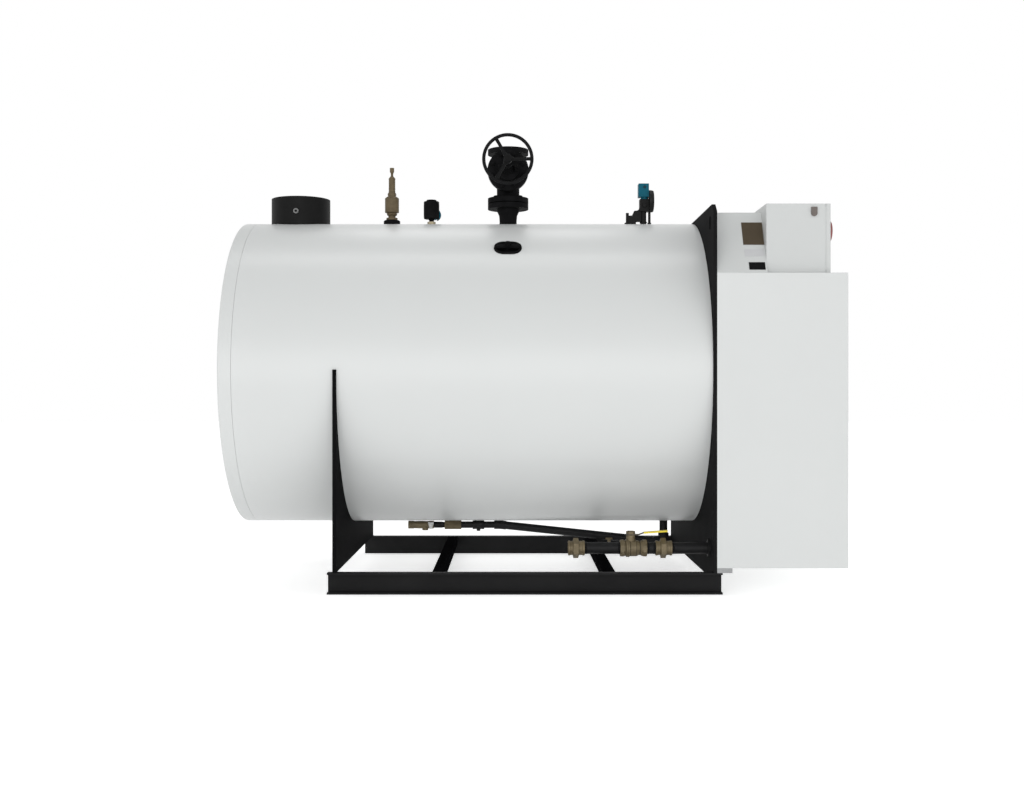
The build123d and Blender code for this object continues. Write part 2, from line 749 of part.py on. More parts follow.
def make_trim():
    """Riser with its side branch, manifold block, pressure transmitter and gauge."""
    foot_z = shell_top_z + seam_gap
    riser_top_z = shell_top_z + trim_riser_height
    block_top_z = riser_top_z + trim_block_height
    stub_x = trim_x - branch_shift
    block_length = trim_block_back + trim_block_front
    block_foot = upward(trim_x + block_length / 2 - trim_block_back, 0, riser_top_z)
    with BuildPart() as manifold:
        block(block_foot, block_length, trim_block_width, trim_block_height)
    save(manifold, "trim_manifold")
    with BuildPart() as transmitter:
        bar(upward(trim_x + trim_neck_shift, 0, block_top_z), trim_neck_height, trim_neck_radius)
        block(upward(trim_x, 0, block_top_z + trim_neck_height), transmitter_length, transmitter_width,
              transmitter_height)
    save(transmitter, "pressure_transmitter")
    gauge_z = shell_top_z + gauge_rise
    stem_x = trim_x + trim_block_front
    with BuildPart() as gauge:
        bar(along_x(stem_x, 0, gauge_z), gauge_stem_length, gauge_stem_radius)
        spin(along_x(stem_x + gauge_stem_length, 0, gauge_z), gauge_radius, gauge_depth, gauge_shares)
    save(gauge, "pressure_gauge")
    with BuildPart() as pipes:
        bar(upward(stub_x, 0, axis_z), jacket_radius + branch_stub_height, branch_stub_radius)
        outline = [(branch_shift * x, branch_height * z) for x, z in branch_shares]
        with BuildSketch(toward_viewer(stub_x, branch_width / 2, foot_z)) as casting:
            with BuildLine():
                Polyline(outline, close=True)
            make_face()
        extrude(casting.sketch, amount=branch_width)
        block(block_foot, block_length, trim_block_width, trim_block_height, Mode.SUBTRACT)
        bar(upward(trim_x, 0, axis_z), riser_top_z - axis_z, trim_pipe_radius)
        probe_x = trim_x + probe_shift
        bar(upward(probe_x, 0, axis_z), gauge_z - gauge_radius - axis_z, probe_radius)
        hexagon(upward(probe_x, 0, foot_z), probe_foot_height, probe_foot_radius)
        clear_of_vessel()
    save(pipes, "trim_pipes")


def fitting_union(start_x, y, z):
    """Pipe union along X: round ends and a hexagonal nut standing on a corner."""
    bar(along_x(start_x, y, z), feed_union_length, feed_fitting_radius)
    nut_x = start_x + feed_union_length * feed_nut_share - feed_nut_width / 2
    hexagon(along_x(nut_x, y, z), feed_nut_width, feed_nut_radius, feed_nut_turn)


def make_feed_line():
    """Feed line from its open union to the front plate, with a ball valve and its lever."""
    inner_union_x = plate_back_x - feed_inner_nipple - feed_union_length
    valve_x = inner_union_x - feed_middle_nipple - feed_valve_length
    outer_union_x = valve_x - feed_outer_nipple - feed_union_length
    with BuildPart() as unions:
        fitting_union(outer_union_x, feed_y, feed_z)
        bar(along_x(outer_union_x, feed_y, feed_z), feed_socket_depth, feed_socket_radius, Mode.SUBTRACT)
        bar(along_x(outer_union_x, feed_y, feed_z), feed_union_length, feed_pipe_bore, Mode.SUBTRACT)
        fitting_union(inner_union_x, feed_y, feed_z)
    save(unions, "feed_unions")
    with BuildPart() as nipples:
        bar(along_x(outer_union_x + feed_union_length, feed_y, feed_z), feed_outer_nipple, feed_pipe_radius)
        bar(along_x(valve_x + feed_valve_length, feed_y, feed_z), feed_middle_nipple, feed_pipe_radius)
        bar(along_x(inner_union_x + feed_union_length, feed_y, feed_z),
            feed_inner_nipple + plate_thickness + feed_tail, feed_pipe_radius)
    save(nipples, "feed_pipe")
    with BuildPart() as collar:
        bar(along_minus_x(plate_back_x, feed_y, feed_z), feed_collar_length, feed_collar_radius)
        bar(along_minus_x(plate_back_x, feed_y, feed_z), feed_collar_length, feed_pipe_radius + seat_gap,
            Mode.SUBTRACT)
    save(collar, "feed_pipe_collar")
    stem_x = valve_x + feed_valve_length * feed_stem_share
    with BuildPart() as valve:
        spin(along_x(valve_x, feed_y, feed_z), feed_valve_ball_radius, feed_valve_length,
             feed_valve_shares)
        bar(upward(stem_x, feed_y, feed_z), lever_boss_height, lever_boss_radius)
        bar(upward(stem_x, feed_y, feed_z), lever_boss_height + lever_thickness + 2 * seat_gap,
            lever_stem_radius)
    save(valve, "feed_valve_body")
    lever_z = feed_z + lever_boss_height + seat_gap
    strip = (
        (-lever_eye, 0),
        (lever_bend_start, 0),
        (lever_bend_end, lever_bend_rise),
        (lever_length, lever_tip_rise),
    )
    with BuildPart() as lever:
        lever_bar(stem_x, lever_z, strip, 0, lever_width)
        bar(upward(stem_x, feed_y, lever_z), lever_thickness, lever_stem_radius + running_gap,
            Mode.SUBTRACT)
    save(lever, "feed_valve_lever")
    with BuildPart() as cap:
        hexagon(upward(stem_x, feed_y, lever_z + lever_thickness), lever_cap_height, lever_cap_radius)
        bar(upward(stem_x, feed_y, lever_z + lever_thickness), 2 * seat_gap,
            lever_stem_radius + running_gap, Mode.SUBTRACT)
    save(cap, "feed_lever_cap")
    with BuildPart() as grip:
        lever_bar(stem_x, lever_z, strip[2:], lever_grip_overhang, lever_grip_width)
        lever_bar(stem_x, lever_z, strip[1:], 0, lever_width, Mode.SUBTRACT)
    save(grip, "feed_lever_grip")


def lever_bar(stem_x, lever_z, line, growth, width, mode=Mode.ADD):
    """Bent strip along a line of points from the lever's stem, grown above and below, or its cut."""
    under = [(x, z - growth) for x, z in line]
    over = [(x, z + lever_thickness + growth) for x, z in reversed(line)]
    with BuildSketch(toward_viewer(stem_x, feed_y + width / 2, lever_z)) as side:
        with BuildLine():
            Polyline(under + over, close=True)
        make_face()
    extrude(side.sketch, amount=width, mode=mode)


def elbow(corner, first, second, radius, reach):
    """Elbow fitting: a ball at the corner and a socket along each direction."""
    for direction in (first, second):
        bar(Plane(origin=corner, x_dir=(0, 1, 0), z_dir=direction), reach, radius)
    with Locations(corner):
        Sphere(radius)


def make_drain_line():
    """Drop pipe, sloping pipe and level run under the shell, ending in a ball valve."""
    low = (drain_x, 0, drain_low_rise)
    high = (drain_high_x, 0, drain_high_rise)
    run = drain_high_x - drain_x
    rise = drain_high_rise - drain_low_rise
    span = hypot(run, rise)
    slope = (run / span, 0, rise / span)
    back = (-run / span, 0, -rise / span)
    with BuildPart() as elbows:
        elbow(low, (0, 0, 1), slope, drain_drop_fitting_radius, drain_drop_fitting_reach)
        elbow(high, back, (-1, 0, 0), drain_fitting_radius, drain_fitting_reach)
    save(elbows, "drain_elbows")
    with BuildPart() as pipes:
        drop_foot_z = drain_low_rise + drain_drop_fitting_reach
        bar(upward(drain_x, 0, drop_foot_z), axis_z - drop_foot_z, drain_drop_radius)
        clear_of_vessel()
        start = tuple(a + b * drain_drop_fitting_reach for a, b in zip(low, slope))
        bar(Plane(origin=start, x_dir=(0, 1, 0), z_dir=slope),
            span - drain_drop_fitting_reach - drain_fitting_reach, drain_drop_radius)
        bar(along_x(drain_tee_x, 0, drain_high_rise), drain_nipple_one, drain_pipe_radius)
        bar(along_x(drain_coupling_x, 0, drain_high_rise), drain_nipple_two, drain_pipe_radius)
    save(pipes, "drain_pipes")
    with BuildPart() as tee:
        bar(along_minus_x(drain_tee_x, 0, drain_high_rise), drain_tee_length, drain_fitting_radius)
        middle = downward(drain_tee_x - drain_tee_length / 2, 0, drain_high_rise)
        bar(middle, drain_fitting_radius + drain_plug_drop, drain_plug_radius)
    save(tee, "drain_tee")
    with BuildPart() as coupling:
        hexagon(along_minus_x(drain_coupling_x, 0, drain_high_rise), drain_coupling_length,
                drain_coupling_radius)
    save(coupling, "drain_coupling")
    with BuildPart() as reducer:
        spin(along_minus_x(drain_reducer_x, 0, drain_high_rise), drain_reducer_radius, drain_reducer_length,
             ((0.0, 0.0), (0.84, 0.0), (1.0, 0.3), (1.0, 1.0), (0.0, 1.0)))
    save(reducer, "drain_reducer")
    with BuildPart() as valve:
        drain_stem_x = drain_valve_x - drain_valve_length * drain_stem_share
        spin(along_minus_x(drain_valve_x, 0, drain_high_rise), drain_valve_ball_radius, drain_valve_length,
             drain_valve_shares)
        bar(along_x(drain_end_x, 0, drain_high_rise), drain_socket_depth, drain_pipe_bore,
            Mode.SUBTRACT)
        bulge_x = drain_valve_x - drain_valve_length * drain_bulge_share
        bar(downward(bulge_x, 0, drain_high_rise), drain_bulge_drop, drain_bulge_radius)
        bar(toward_viewer(drain_stem_x, 0, drain_high_rise), drain_boss_reach, drain_boss_radius)
        bar(toward_viewer(drain_stem_x, 0, drain_high_rise), drain_boss_reach + drain_handle_thickness,
            drain_stem_radius)
    save(valve, "drain_valve_body")
    with BuildPart() as handle:
        back = toward_viewer(drain_stem_x, -(drain_boss_reach + seat_gap), drain_high_rise)
        with BuildSketch(back) as outline:
            with BuildLine():
                Polyline(
                    (-drain_handle_tip_width / 2, -drain_handle_drop),
                    (drain_handle_tip_width / 2, -drain_handle_drop),
                    (drain_handle_width / 2, drain_handle_rise),
                    (-drain_handle_width / 2, drain_handle_rise),
                    close=True,
                )
            make_face()
        extrude(outline.sketch, amount=drain_handle_thickness)
        bar(back, drain_handle_thickness, drain_stem_radius + running_gap, Mode.SUBTRACT)
    save(handle, "drain_valve_handle")
    clip_x = plate_back_x - drain_clip_setback
    clip_z = drain_low_rise + (clip_x - drain_x) / run * rise - drain_clip_lift
    with BuildPart() as clip:
        foot = downward(clip_x, -drain_clip_offset, clip_z)
        bar(foot.offset(-drain_clip_height), drain_clip_height, drain_clip_radius)
        bar(foot, drain_clip_stud_drop, drain_clip_stud_radius)
        bar(Plane(origin=low, x_dir=(0, 1, 0), z_dir=slope), span, drain_drop_radius + seat_gap,
            Mode.SUBTRACT)
    save(clip, "drain_pipe_clip")


def folded_shell(front_x, back_x, half_width, bottom_z, top_z):
    """Wrap of sheet: two sides, a top and a bottom, open toward both ends."""
    middle_z = (bottom_z + top_z) / 2
    base = along_x(back_x, 0, middle_z)
    block(base, 2 * half_width, top_z - bottom_z, front_x - back_x)
    block(base, 2 * (half_width - sheet), top_z - bottom_z - 2 * sheet, front_x - back_x, Mode.SUBTRACT)


def make_enclosure():
    """Sheet enclosure in front of the plate, its front panel and the bars it stands on."""
    panel_back_x = enclosure_front_x - enclosure_panel_return
    middle_z = (enclosure_bottom_z + enclosure_top_z) / 2
    height = enclosure_top_z - enclosure_bottom_z
    with BuildPart() as wrap:
        folded_shell(enclosure_front_x, plate_front_x, half_width, enclosure_bottom_z, enclosure_top_z)
    save(wrap, "enclosure_wrap")
    with BuildPart() as panel:
        base = along_x(panel_back_x, 0, middle_z)
        block(base, 2 * (half_width - sheet), height - 2 * sheet, enclosure_panel_return)
        block(base, 2 * (half_width - 2 * sheet), height - 4 * sheet,
              enclosure_panel_return - sheet, Mode.SUBTRACT)
    save(panel, "enclosure_front_panel")
    with BuildPart() as brackets:
        for side in sides.values():
            y = side * (half_width - bracket_width / 2)
            block(upward(plate_front_x + bracket_length / 2, y, rail_height), bracket_length, bracket_width,
                  enclosure_lift)
    save(brackets, "enclosure_brackets")


def make_hood():
    """Sheet hood with sloping sides and a closed front end, between the front plate and the cabinet."""
    with BuildPart() as hood:
        foot = half_width
        ridge = half_width - hood_ridge_inset
        with BuildSketch(along_x(plate_front_x, 0, 0)) as outer:
            with BuildLine():
                Polyline((-foot, enclosure_top_z), (foot, enclosure_top_z), (ridge, hood_top_z),
                         (-ridge, hood_top_z), close=True)
            make_face()
        extrude(outer.sketch, amount=hood_length)
        with BuildSketch(along_x(plate_front_x, 0, 0)) as inner:
            with BuildLine():
                lean = hood_ridge_inset / hood_height
                inner_foot = foot - sheet * hypot(1, lean)
                inner_ridge = inner_foot - (hood_height - sheet) * lean
                Polyline((-inner_foot, enclosure_top_z), (inner_foot, enclosure_top_z),
                         (inner_ridge, hood_top_z - sheet), (-inner_ridge, hood_top_z - sheet), close=True)
            make_face()
        extrude(inner.sketch, amount=hood_length - sheet, mode=Mode.SUBTRACT)
    save(hood, "hood")

    slope_length = hypot(hood_ridge_inset, hood_height)
    down = Vector(0, -hood_ridge_inset / slope_length, -hood_height / slope_length)
    out = Vector(0, -hood_height / slope_length, hood_ridge_inset / slope_length)
    for name, (width, height, drop, inset) in label_plates.items():
        with BuildPart() as plate:
            ridge_edge = Vector(hood_front_x - inset - width / 2, -ridge, hood_top_z)
            centre = ridge_edge + down * (drop + height / 2)
            block(Plane(origin=centre, x_dir=(1, 0, 0), z_dir=out), width, height, label_plate_sheet)
        save(plate, name)


def hinge_zs():
    """Heights of the foot of each hinge."""
    return [enclosure_top_z + share * cabinet_height for share in hinge_height_shares]


def make_cabinet():
    """Open-fronted control cabinet with its latch and hinge leaves."""
    pin_y = cabinet_half_width + hinge_knuckle_radius
    pin_x = cabinet_front_x
    with BuildPart() as cabinet:
        middle_z = (enclosure_top_z + cabinet_top_z) / 2
        depth = cabinet_depth - door_seam
        block(along_x(hood_front_x, 0, middle_z), 2 * cabinet_half_width, cabinet_height, depth)
        block(along_x(hood_front_x + sheet, 0, middle_z), 2 * (cabinet_half_width - sheet),
              cabinet_height - 2 * sheet, depth, Mode.SUBTRACT)
    save(cabinet, "control_cabinet")
    with BuildPart() as latch:
        centre_x = cabinet_front_x - latch_back
        top_z = cabinet_top_z - latch_drop
        radius = latch_width / 2
        with BuildSketch(toward_viewer(centre_x, -cabinet_half_width, top_z - radius)) as outline:
            with Locations((0, -(latch_height - 2 * radius) / 2)):
                Rectangle(latch_width, latch_height - 2 * radius)
            with Locations((0, radius / 2)):
                Rectangle(latch_width, radius)
            with Locations((0, -(latch_height - 2 * radius))):
                Circle(radius)
        extrude(outline.sketch, amount=latch_depth)
    save(latch, "cabinet_latch")
    with BuildPart() as leaves:
        for foot_z in hinge_zs():
            leaf_x = pin_x - hinge_leaf_depth / 2
            leaf_plane = upward(leaf_x, cabinet_half_width + hinge_leaf_sheet / 2, foot_z)
            block(leaf_plane, hinge_leaf_depth, hinge_leaf_sheet, hinge_knuckle_height)
            bar(upward(pin_x, pin_y, foot_z), hinge_knuckle_height, hinge_knuckle_radius)
            bar(upward(pin_x, pin_y, foot_z), 2 * hinge_knuckle_height, hinge_pin_radius)
    save(leaves, "hinge_leaves")


def make_cabinet_door():
    """Door pan with its knuckles, the isolator's bezel and its knob."""
    pin_y = cabinet_half_width + hinge_knuckle_radius
    middle_z = (enclosure_top_z + cabinet_top_z) / 2
    with BuildPart() as door:
        back = along_x(cabinet_front_x, 0, middle_z + door_seam / 2)
        block(back, 2 * cabinet_half_width, cabinet_height - door_seam, door_depth)
        block(back, 2 * (cabinet_half_width - sheet), cabinet_height - 2 * sheet - door_seam,
              door_depth - sheet, Mode.SUBTRACT)
        for foot_z in hinge_zs():
            knuckle_z = foot_z + hinge_knuckle_height + seat_gap
            knuckle = upward(cabinet_front_x, pin_y, knuckle_z)
            bar(knuckle, hinge_knuckle_height, hinge_knuckle_radius)
            lug = upward(cabinet_front_x + hinge_knuckle_radius, cabinet_half_width + hinge_leaf_sheet / 2,
                         knuckle_z)
            block(lug, 2 * hinge_knuckle_radius, hinge_leaf_sheet, hinge_knuckle_height)
            bar(knuckle, hinge_knuckle_height, hinge_pin_radius + running_gap, Mode.SUBTRACT)
    save(door, "cabinet_door")
    switch = (door_front_x, -(cabinet_half_width - switch_inset_y), cabinet_top_z - switch_drop)
    with BuildPart() as bezel:
        bar(along_x(*switch), switch_bezel_depth, switch_bezel_radius)
        bar(along_x(*switch), switch_bezel_depth + switch_knob_depth / 2, switch_spindle_radius)
    save(bezel, "switch_bezel")
    with BuildPart() as knob:
        face_x = door_front_x + switch_bezel_depth + seat_gap
        face = along_x(face_x, *switch[1:])
        spin(face, switch_knob_radius, switch_knob_depth, switch_knob_shares)
        with BuildSketch(face.offset(switch_pocket_floor)) as pockets:
            Circle(switch_pocket_reach)
            Rectangle(switch_grip_width, 2 * switch_knob_radius, mode=Mode.SUBTRACT)
        extrude(pockets.sketch, amount=switch_knob_depth, mode=Mode.SUBTRACT)
        bar(face, switch_knob_depth / 2 + seat_gap, switch_spindle_radius + running_gap, Mode.SUBTRACT)
    save(knob, "switch_knob")


make_skid()
make_rear_saddle()
make_front_plate()
make_shell()
make_flue()
make_safety_valve()
make_air_vent()
make_steam_nozzle()
make_steam_valve()
make_handhole()
make_trim()
make_feed_line()
make_drain_line()
make_enclosure()
make_hood()
make_cabinet()
make_cabinet_door()
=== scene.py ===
"""Looks of a horizontal fire-tube boiler, in metres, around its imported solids."""
import json
import math
import random

import bmesh
import bpy
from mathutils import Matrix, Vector


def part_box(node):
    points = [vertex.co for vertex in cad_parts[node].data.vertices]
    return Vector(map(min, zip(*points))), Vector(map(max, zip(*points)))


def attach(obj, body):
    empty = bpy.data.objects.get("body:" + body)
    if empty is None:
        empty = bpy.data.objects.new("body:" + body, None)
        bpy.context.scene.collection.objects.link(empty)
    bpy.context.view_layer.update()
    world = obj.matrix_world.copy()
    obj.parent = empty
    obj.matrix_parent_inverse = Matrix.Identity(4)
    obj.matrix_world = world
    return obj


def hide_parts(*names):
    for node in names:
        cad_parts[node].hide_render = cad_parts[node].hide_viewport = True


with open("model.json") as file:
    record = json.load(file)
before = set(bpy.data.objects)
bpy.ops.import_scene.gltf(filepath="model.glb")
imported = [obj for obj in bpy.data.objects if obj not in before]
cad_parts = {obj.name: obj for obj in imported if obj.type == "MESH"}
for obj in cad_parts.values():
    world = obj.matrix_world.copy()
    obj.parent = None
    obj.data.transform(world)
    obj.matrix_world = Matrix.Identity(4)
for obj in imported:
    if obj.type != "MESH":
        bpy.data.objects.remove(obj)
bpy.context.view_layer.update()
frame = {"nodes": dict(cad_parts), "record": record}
nodes = frame["nodes"]
random.seed(7)

MM = 0.001
HEXAGON, OCTAGON = 6, 8
X, Y, Z = Vector((1, 0, 0)), Vector((0, 1, 0)), Vector((0, 0, 1))
PHOTO_WIDTH = 1024
FOCAL_PIXELS = 1254.4
SENSOR = 36.0
CAMERA_PLACE = (-0.07105, -5.030, 0.7038)


# Materials

def new_material(name):
    """An empty node material: its tree and its shader."""
    material = bpy.data.materials.new(name)
    material.use_nodes = True
    tree = material.node_tree
    tree.nodes.clear()
    shader = tree.nodes.new("ShaderNodeBsdfPrincipled")
    output = tree.nodes.new("ShaderNodeOutputMaterial")
    tree.links.new(shader.outputs["BSDF"], output.inputs["Surface"])
    return material, tree, shader


def noise(tree, scale, detail=4.0, stretch=(1, 1, 1), distortion=0.0):
    """A noise over the object's own coordinates, stretched along its axes."""
    place = tree.nodes.new("ShaderNodeTexCoord")
    mapping = tree.nodes.new("ShaderNodeMapping")
    mapping.inputs["Scale"].default_value = stretch
    tree.links.new(place.outputs["Object"], mapping.inputs["Vector"])
    texture = tree.nodes.new("ShaderNodeTexNoise")
    texture.inputs["Scale"].default_value = scale
    texture.inputs["Detail"].default_value = detail
    texture.inputs["Distortion"].default_value = distortion
    tree.links.new(mapping.outputs["Vector"], texture.inputs["Vector"])
    return texture.outputs["Fac"]


def spread(tree, value, low, high, start=0.3, end=0.7):
    """Maps a noise onto a range."""
    mapping = tree.nodes.new("ShaderNodeMapRange")
    mapping.inputs["From Min"].default_value = start
    mapping.inputs["From Max"].default_value = end
    mapping.inputs["To Min"].default_value = low
    mapping.inputs["To Max"].default_value = high
    tree.links.new(value, mapping.inputs["Value"])
    return mapping.outputs["Result"]


def blend_colors(tree, factor, dark, light):
    """Two colours mixed by a factor."""
    ramp = tree.nodes.new("ShaderNodeValToRGB")
    ramp.color_ramp.elements[0].color = (*dark, 1)
    ramp.color_ramp.elements[1].color = (*light, 1)
    tree.links.new(factor, ramp.inputs["Fac"])
    return ramp.outputs["Color"]


CLOUD_DETAIL, CLOUD_DISTORTION = 6.0, 0.4
GRAIN_DETAIL, GLOSS_GRAIN_SHARE = 3.0, 0.6
BEVEL_SAMPLES = 4


def surface(name, color, rough, shade=0.06, cloud=5.0, grain=350.0, bump=0.08, depth=0.0004,
            metallic=0.0, specular=0.5, edge=0.0):
    """A finish with cloudy colour, uneven gloss, a fine grain and softly rounded edges."""
    material, tree, shader = new_material(name)
    dark = tuple(max(0.0, c * (1 - shade)) for c in color)
    light = tuple(min(1.0, c * (1 + shade)) for c in color)
    clouds = spread(tree, noise(tree, cloud, CLOUD_DETAIL, distortion=CLOUD_DISTORTION), 0.0, 1.0)
    tree.links.new(blend_colors(tree, clouds, dark, light), shader.inputs["Base Color"])
    gloss = spread(tree, noise(tree, grain * GLOSS_GRAIN_SHARE, GRAIN_DETAIL), rough[0], rough[1])
    tree.links.new(gloss, shader.inputs["Roughness"])
    relief = tree.nodes.new("ShaderNodeBump")
    relief.inputs["Strength"].default_value = bump
    relief.inputs["Distance"].default_value = depth
    tree.links.new(noise(tree, grain, GRAIN_DETAIL), relief.inputs["Height"])
    if edge:
        rounding = tree.nodes.new("ShaderNodeBevel")
        rounding.samples = BEVEL_SAMPLES
        rounding.inputs["Radius"].default_value = edge
        tree.links.new(rounding.outputs["Normal"], relief.inputs["Normal"])
    tree.links.new(relief.outputs["Normal"], shader.inputs["Normal"])
    shader.inputs["Metallic"].default_value = metallic
    shader.inputs["Specular IOR Level"].default_value = specular
    return material


FINISHES = {
    "jacket_white": dict(color=(0.66, 0.675, 0.67), rough=(0.28, 0.33), shade=0.008, cloud=1.5,
                         grain=900, bump=0.04, depth=0.0001),
    "enclosure_white": dict(color=(0.658, 0.673, 0.668), rough=(0.48, 0.56), shade=0.01, cloud=3.0,
                            grain=1300, bump=0.25, depth=0.0003, edge=0.0025),
    "skid_black": dict(color=(0.005, 0.005, 0.0055), rough=(0.55, 0.68), shade=0.25, cloud=6.0,
                       grain=600, bump=0.2, depth=0.0004, specular=0.04, edge=0.0015),
    "flue_black": dict(color=(0.006, 0.006, 0.006), rough=(0.5, 0.62), shade=0.25, cloud=14.0,
                       grain=900, bump=0.15, depth=0.0003, specular=0.14),
    "port_steel": dict(color=(0.17, 0.17, 0.17), rough=(0.45, 0.6), shade=0.15, cloud=30.0, grain=2000,
                       bump=0.2, depth=0.0002, metallic=0.3),
    "vessel_steel": dict(color=(0.06, 0.06, 0.06), rough=(0.5, 0.7), shade=0.2, cloud=8.0, grain=500,
                         bump=0.3, depth=0.0005),
    "bronze": dict(color=(0.13, 0.10, 0.058), rough=(0.5, 0.65), shade=0.2, cloud=40.0, grain=1800,
                   bump=0.25, depth=0.0003, metallic=0.2, specular=0.25),
    "valve_black": dict(color=(0.0085, 0.0085, 0.009), rough=(0.5, 0.65), shade=0.3, cloud=24.0,
                        grain=700, bump=0.4, depth=0.0006, specular=0.02, edge=0.001),
    "stem_dark": dict(color=(0.008, 0.008, 0.008), rough=(0.5, 0.65), shade=0.2, cloud=40.0, grain=1500,
                      bump=0.2, depth=0.0002, specular=0.06),
    "stem_steel": dict(color=(0.40, 0.40, 0.39), rough=(0.25, 0.4), shade=0.1, cloud=40.0, grain=1500,
                       bump=0.2, depth=0.0002, metallic=1.0),
    "handle_white": dict(color=(0.62, 0.63, 0.62), rough=(0.3, 0.45), shade=0.06, cloud=40.0,
                         grain=1500, bump=0.15, depth=0.0002, edge=0.001),
    "vent_brass": dict(color=(0.34, 0.29, 0.20), rough=(0.35, 0.5), shade=0.15, cloud=50.0, grain=1800,
                       bump=0.2, depth=0.0002, metallic=0.6),
    "teal_plastic": dict(color=(0.002, 0.10, 0.15), rough=(0.4, 0.52), shade=0.08, cloud=20.0,
                         grain=1500, bump=0.2, depth=0.0002, specular=0.12, edge=0.0015),
    "trim_black": dict(color=(0.006, 0.006, 0.006), rough=(0.45, 0.6), shade=0.3, cloud=30.0, grain=900,
                       bump=0.4, depth=0.0005, specular=0.16, edge=0.0015),
    "gauge_black": dict(color=(0.009, 0.009, 0.009), rough=(0.35, 0.48), shade=0.15, cloud=20.0,
                        grain=1400, bump=0.15, depth=0.0002, specular=0.2),
    "pipe_black": dict(color=(0.009, 0.009, 0.0095), rough=(0.4, 0.55), shade=0.25, cloud=20.0,
                       grain=900, bump=0.25, depth=0.0003, specular=0.18),
    "brass": dict(color=(0.15, 0.118, 0.066), rough=(0.42, 0.58), shade=0.2, cloud=45.0, grain=1600,
                  bump=0.3, depth=0.0003, metallic=0.35, edge=0.001),
    "grip_yellow": dict(color=(0.78, 0.62, 0.03), rough=(0.35, 0.5), shade=0.06, cloud=40.0, grain=1600,
                        bump=0.2, depth=0.0002, edge=0.001),
    "bracket_zinc": dict(color=(0.33, 0.335, 0.34), rough=(0.45, 0.6), shade=0.1, cloud=40.0, grain=900,
                         bump=0.1, depth=0.0002, metallic=0.2),
    "plate_brown": dict(color=(0.075, 0.057, 0.036), rough=(0.35, 0.45), shade=0.06, cloud=20.0,
                        grain=1500, bump=0.05, depth=0.0001, specular=0.2),
    "plate_white": dict(color=(0.54, 0.545, 0.555), rough=(0.35, 0.45), shade=0.02, cloud=20.0,
                        grain=1500, bump=0.05, depth=0.0001),
    "plate_black": dict(color=(0.004, 0.004, 0.0045), rough=(0.4, 0.5), shade=0.1, cloud=20.0,
                        grain=1500, bump=0.05, depth=0.0001, specular=0.1),
    "latch_grey": dict(color=(0.145, 0.125, 0.115), rough=(0.35, 0.5), shade=0.1, cloud=60.0,
                       grain=1500, bump=0.2, depth=0.0002, metallic=0.6, edge=0.001),
    "switch_grey": dict(color=(0.24, 0.24, 0.25), rough=(0.4, 0.5), shade=0.06, cloud=30.0, grain=1500,
                        bump=0.15, depth=0.0002),
    "switch_red": dict(color=(0.27, 0.085, 0.08), rough=(0.35, 0.5), shade=0.06, cloud=30.0, grain=1500,
                       bump=0.1, depth=0.0002),
    "dark_teal": dict(color=(0.003, 0.03, 0.045), rough=(0.4, 0.5), shade=0.1, cloud=30.0, grain=1500,
                      bump=0.1, depth=0.0002, specular=0.2),
    "dial_white": dict(color=(0.72, 0.72, 0.70), rough=(0.3, 0.4), shade=0.02, cloud=20.0, grain=1500,
                       bump=0.02, depth=0.0001),
    "sealant": dict(color=(0.02, 0.02, 0.02), rough=(0.6, 0.8), shade=0.2, cloud=20.0, grain=800,
                    bump=0.1, depth=0.0002, specular=0.2),
    # Copy of the enclosure's white made darker as painted shade, for the hood, the cabinet, its door and the
    # door's gasket.
    "cabinet_shaded_white": dict(color=(0.585, 0.60, 0.595), rough=(0.48, 0.56), shade=0.01, cloud=3.0,
                          grain=1300, bump=0.25, depth=0.0003, edge=0.001),
    # Copy of the skid's black made lighter as painted light, for the base rails.
    "rail_black_lit": dict(color=(0.0135, 0.0135, 0.014), rough=(0.5, 0.62), shade=0.2, cloud=6.0,
                       grain=600, bump=0.2, depth=0.0004, specular=0.1, edge=0.0015),
    # Copy of the skid's black made lighter as painted light, for the front plate.
    "front_plate_black_lit": dict(color=(0.012, 0.012, 0.0125), rough=(0.6, 0.72), shade=0.2, cloud=6.0,
                              grain=600, bump=0.2, depth=0.0004, specular=0.01, edge=0.0015),
    "tube_black": dict(color=(0.005, 0.005, 0.0055), rough=(0.6, 0.72), shade=0.2, cloud=6.0, grain=600,
                       bump=0.2, depth=0.0004, specular=0.0),
    "saddle_black": dict(color=(0.006, 0.006, 0.0065), rough=(0.6, 0.72), shade=0.2, cloud=6.0,
                         grain=600, bump=0.2, depth=0.0004, specular=0.006, edge=0.0015),
    "wheel_black": dict(color=(0.008, 0.008, 0.0085), rough=(0.45, 0.55), shade=0.2, cloud=24.0,
                        grain=900, bump=0.2, depth=0.0003, specular=0.08),
    "lever_grey": dict(color=(0.085, 0.075, 0.06), rough=(0.45, 0.6), shade=0.15, cloud=40.0,
                       grain=1500, bump=0.2, depth=0.0002, metallic=0.2),
    "brass_shadow": dict(color=(0.035, 0.028, 0.016), rough=(0.5, 0.65), shade=0.2, cloud=45.0,
                         grain=1600, bump=0.3, depth=0.0003, specular=0.2),
    "relay_grey": dict(color=(0.30, 0.31, 0.32), rough=(0.4, 0.5), shade=0.05, cloud=30.0, grain=1200,
                       bump=0.1, depth=0.0002),
}
LOOKS = {name: surface(name, **finish) for name, finish in FINISHES.items()}
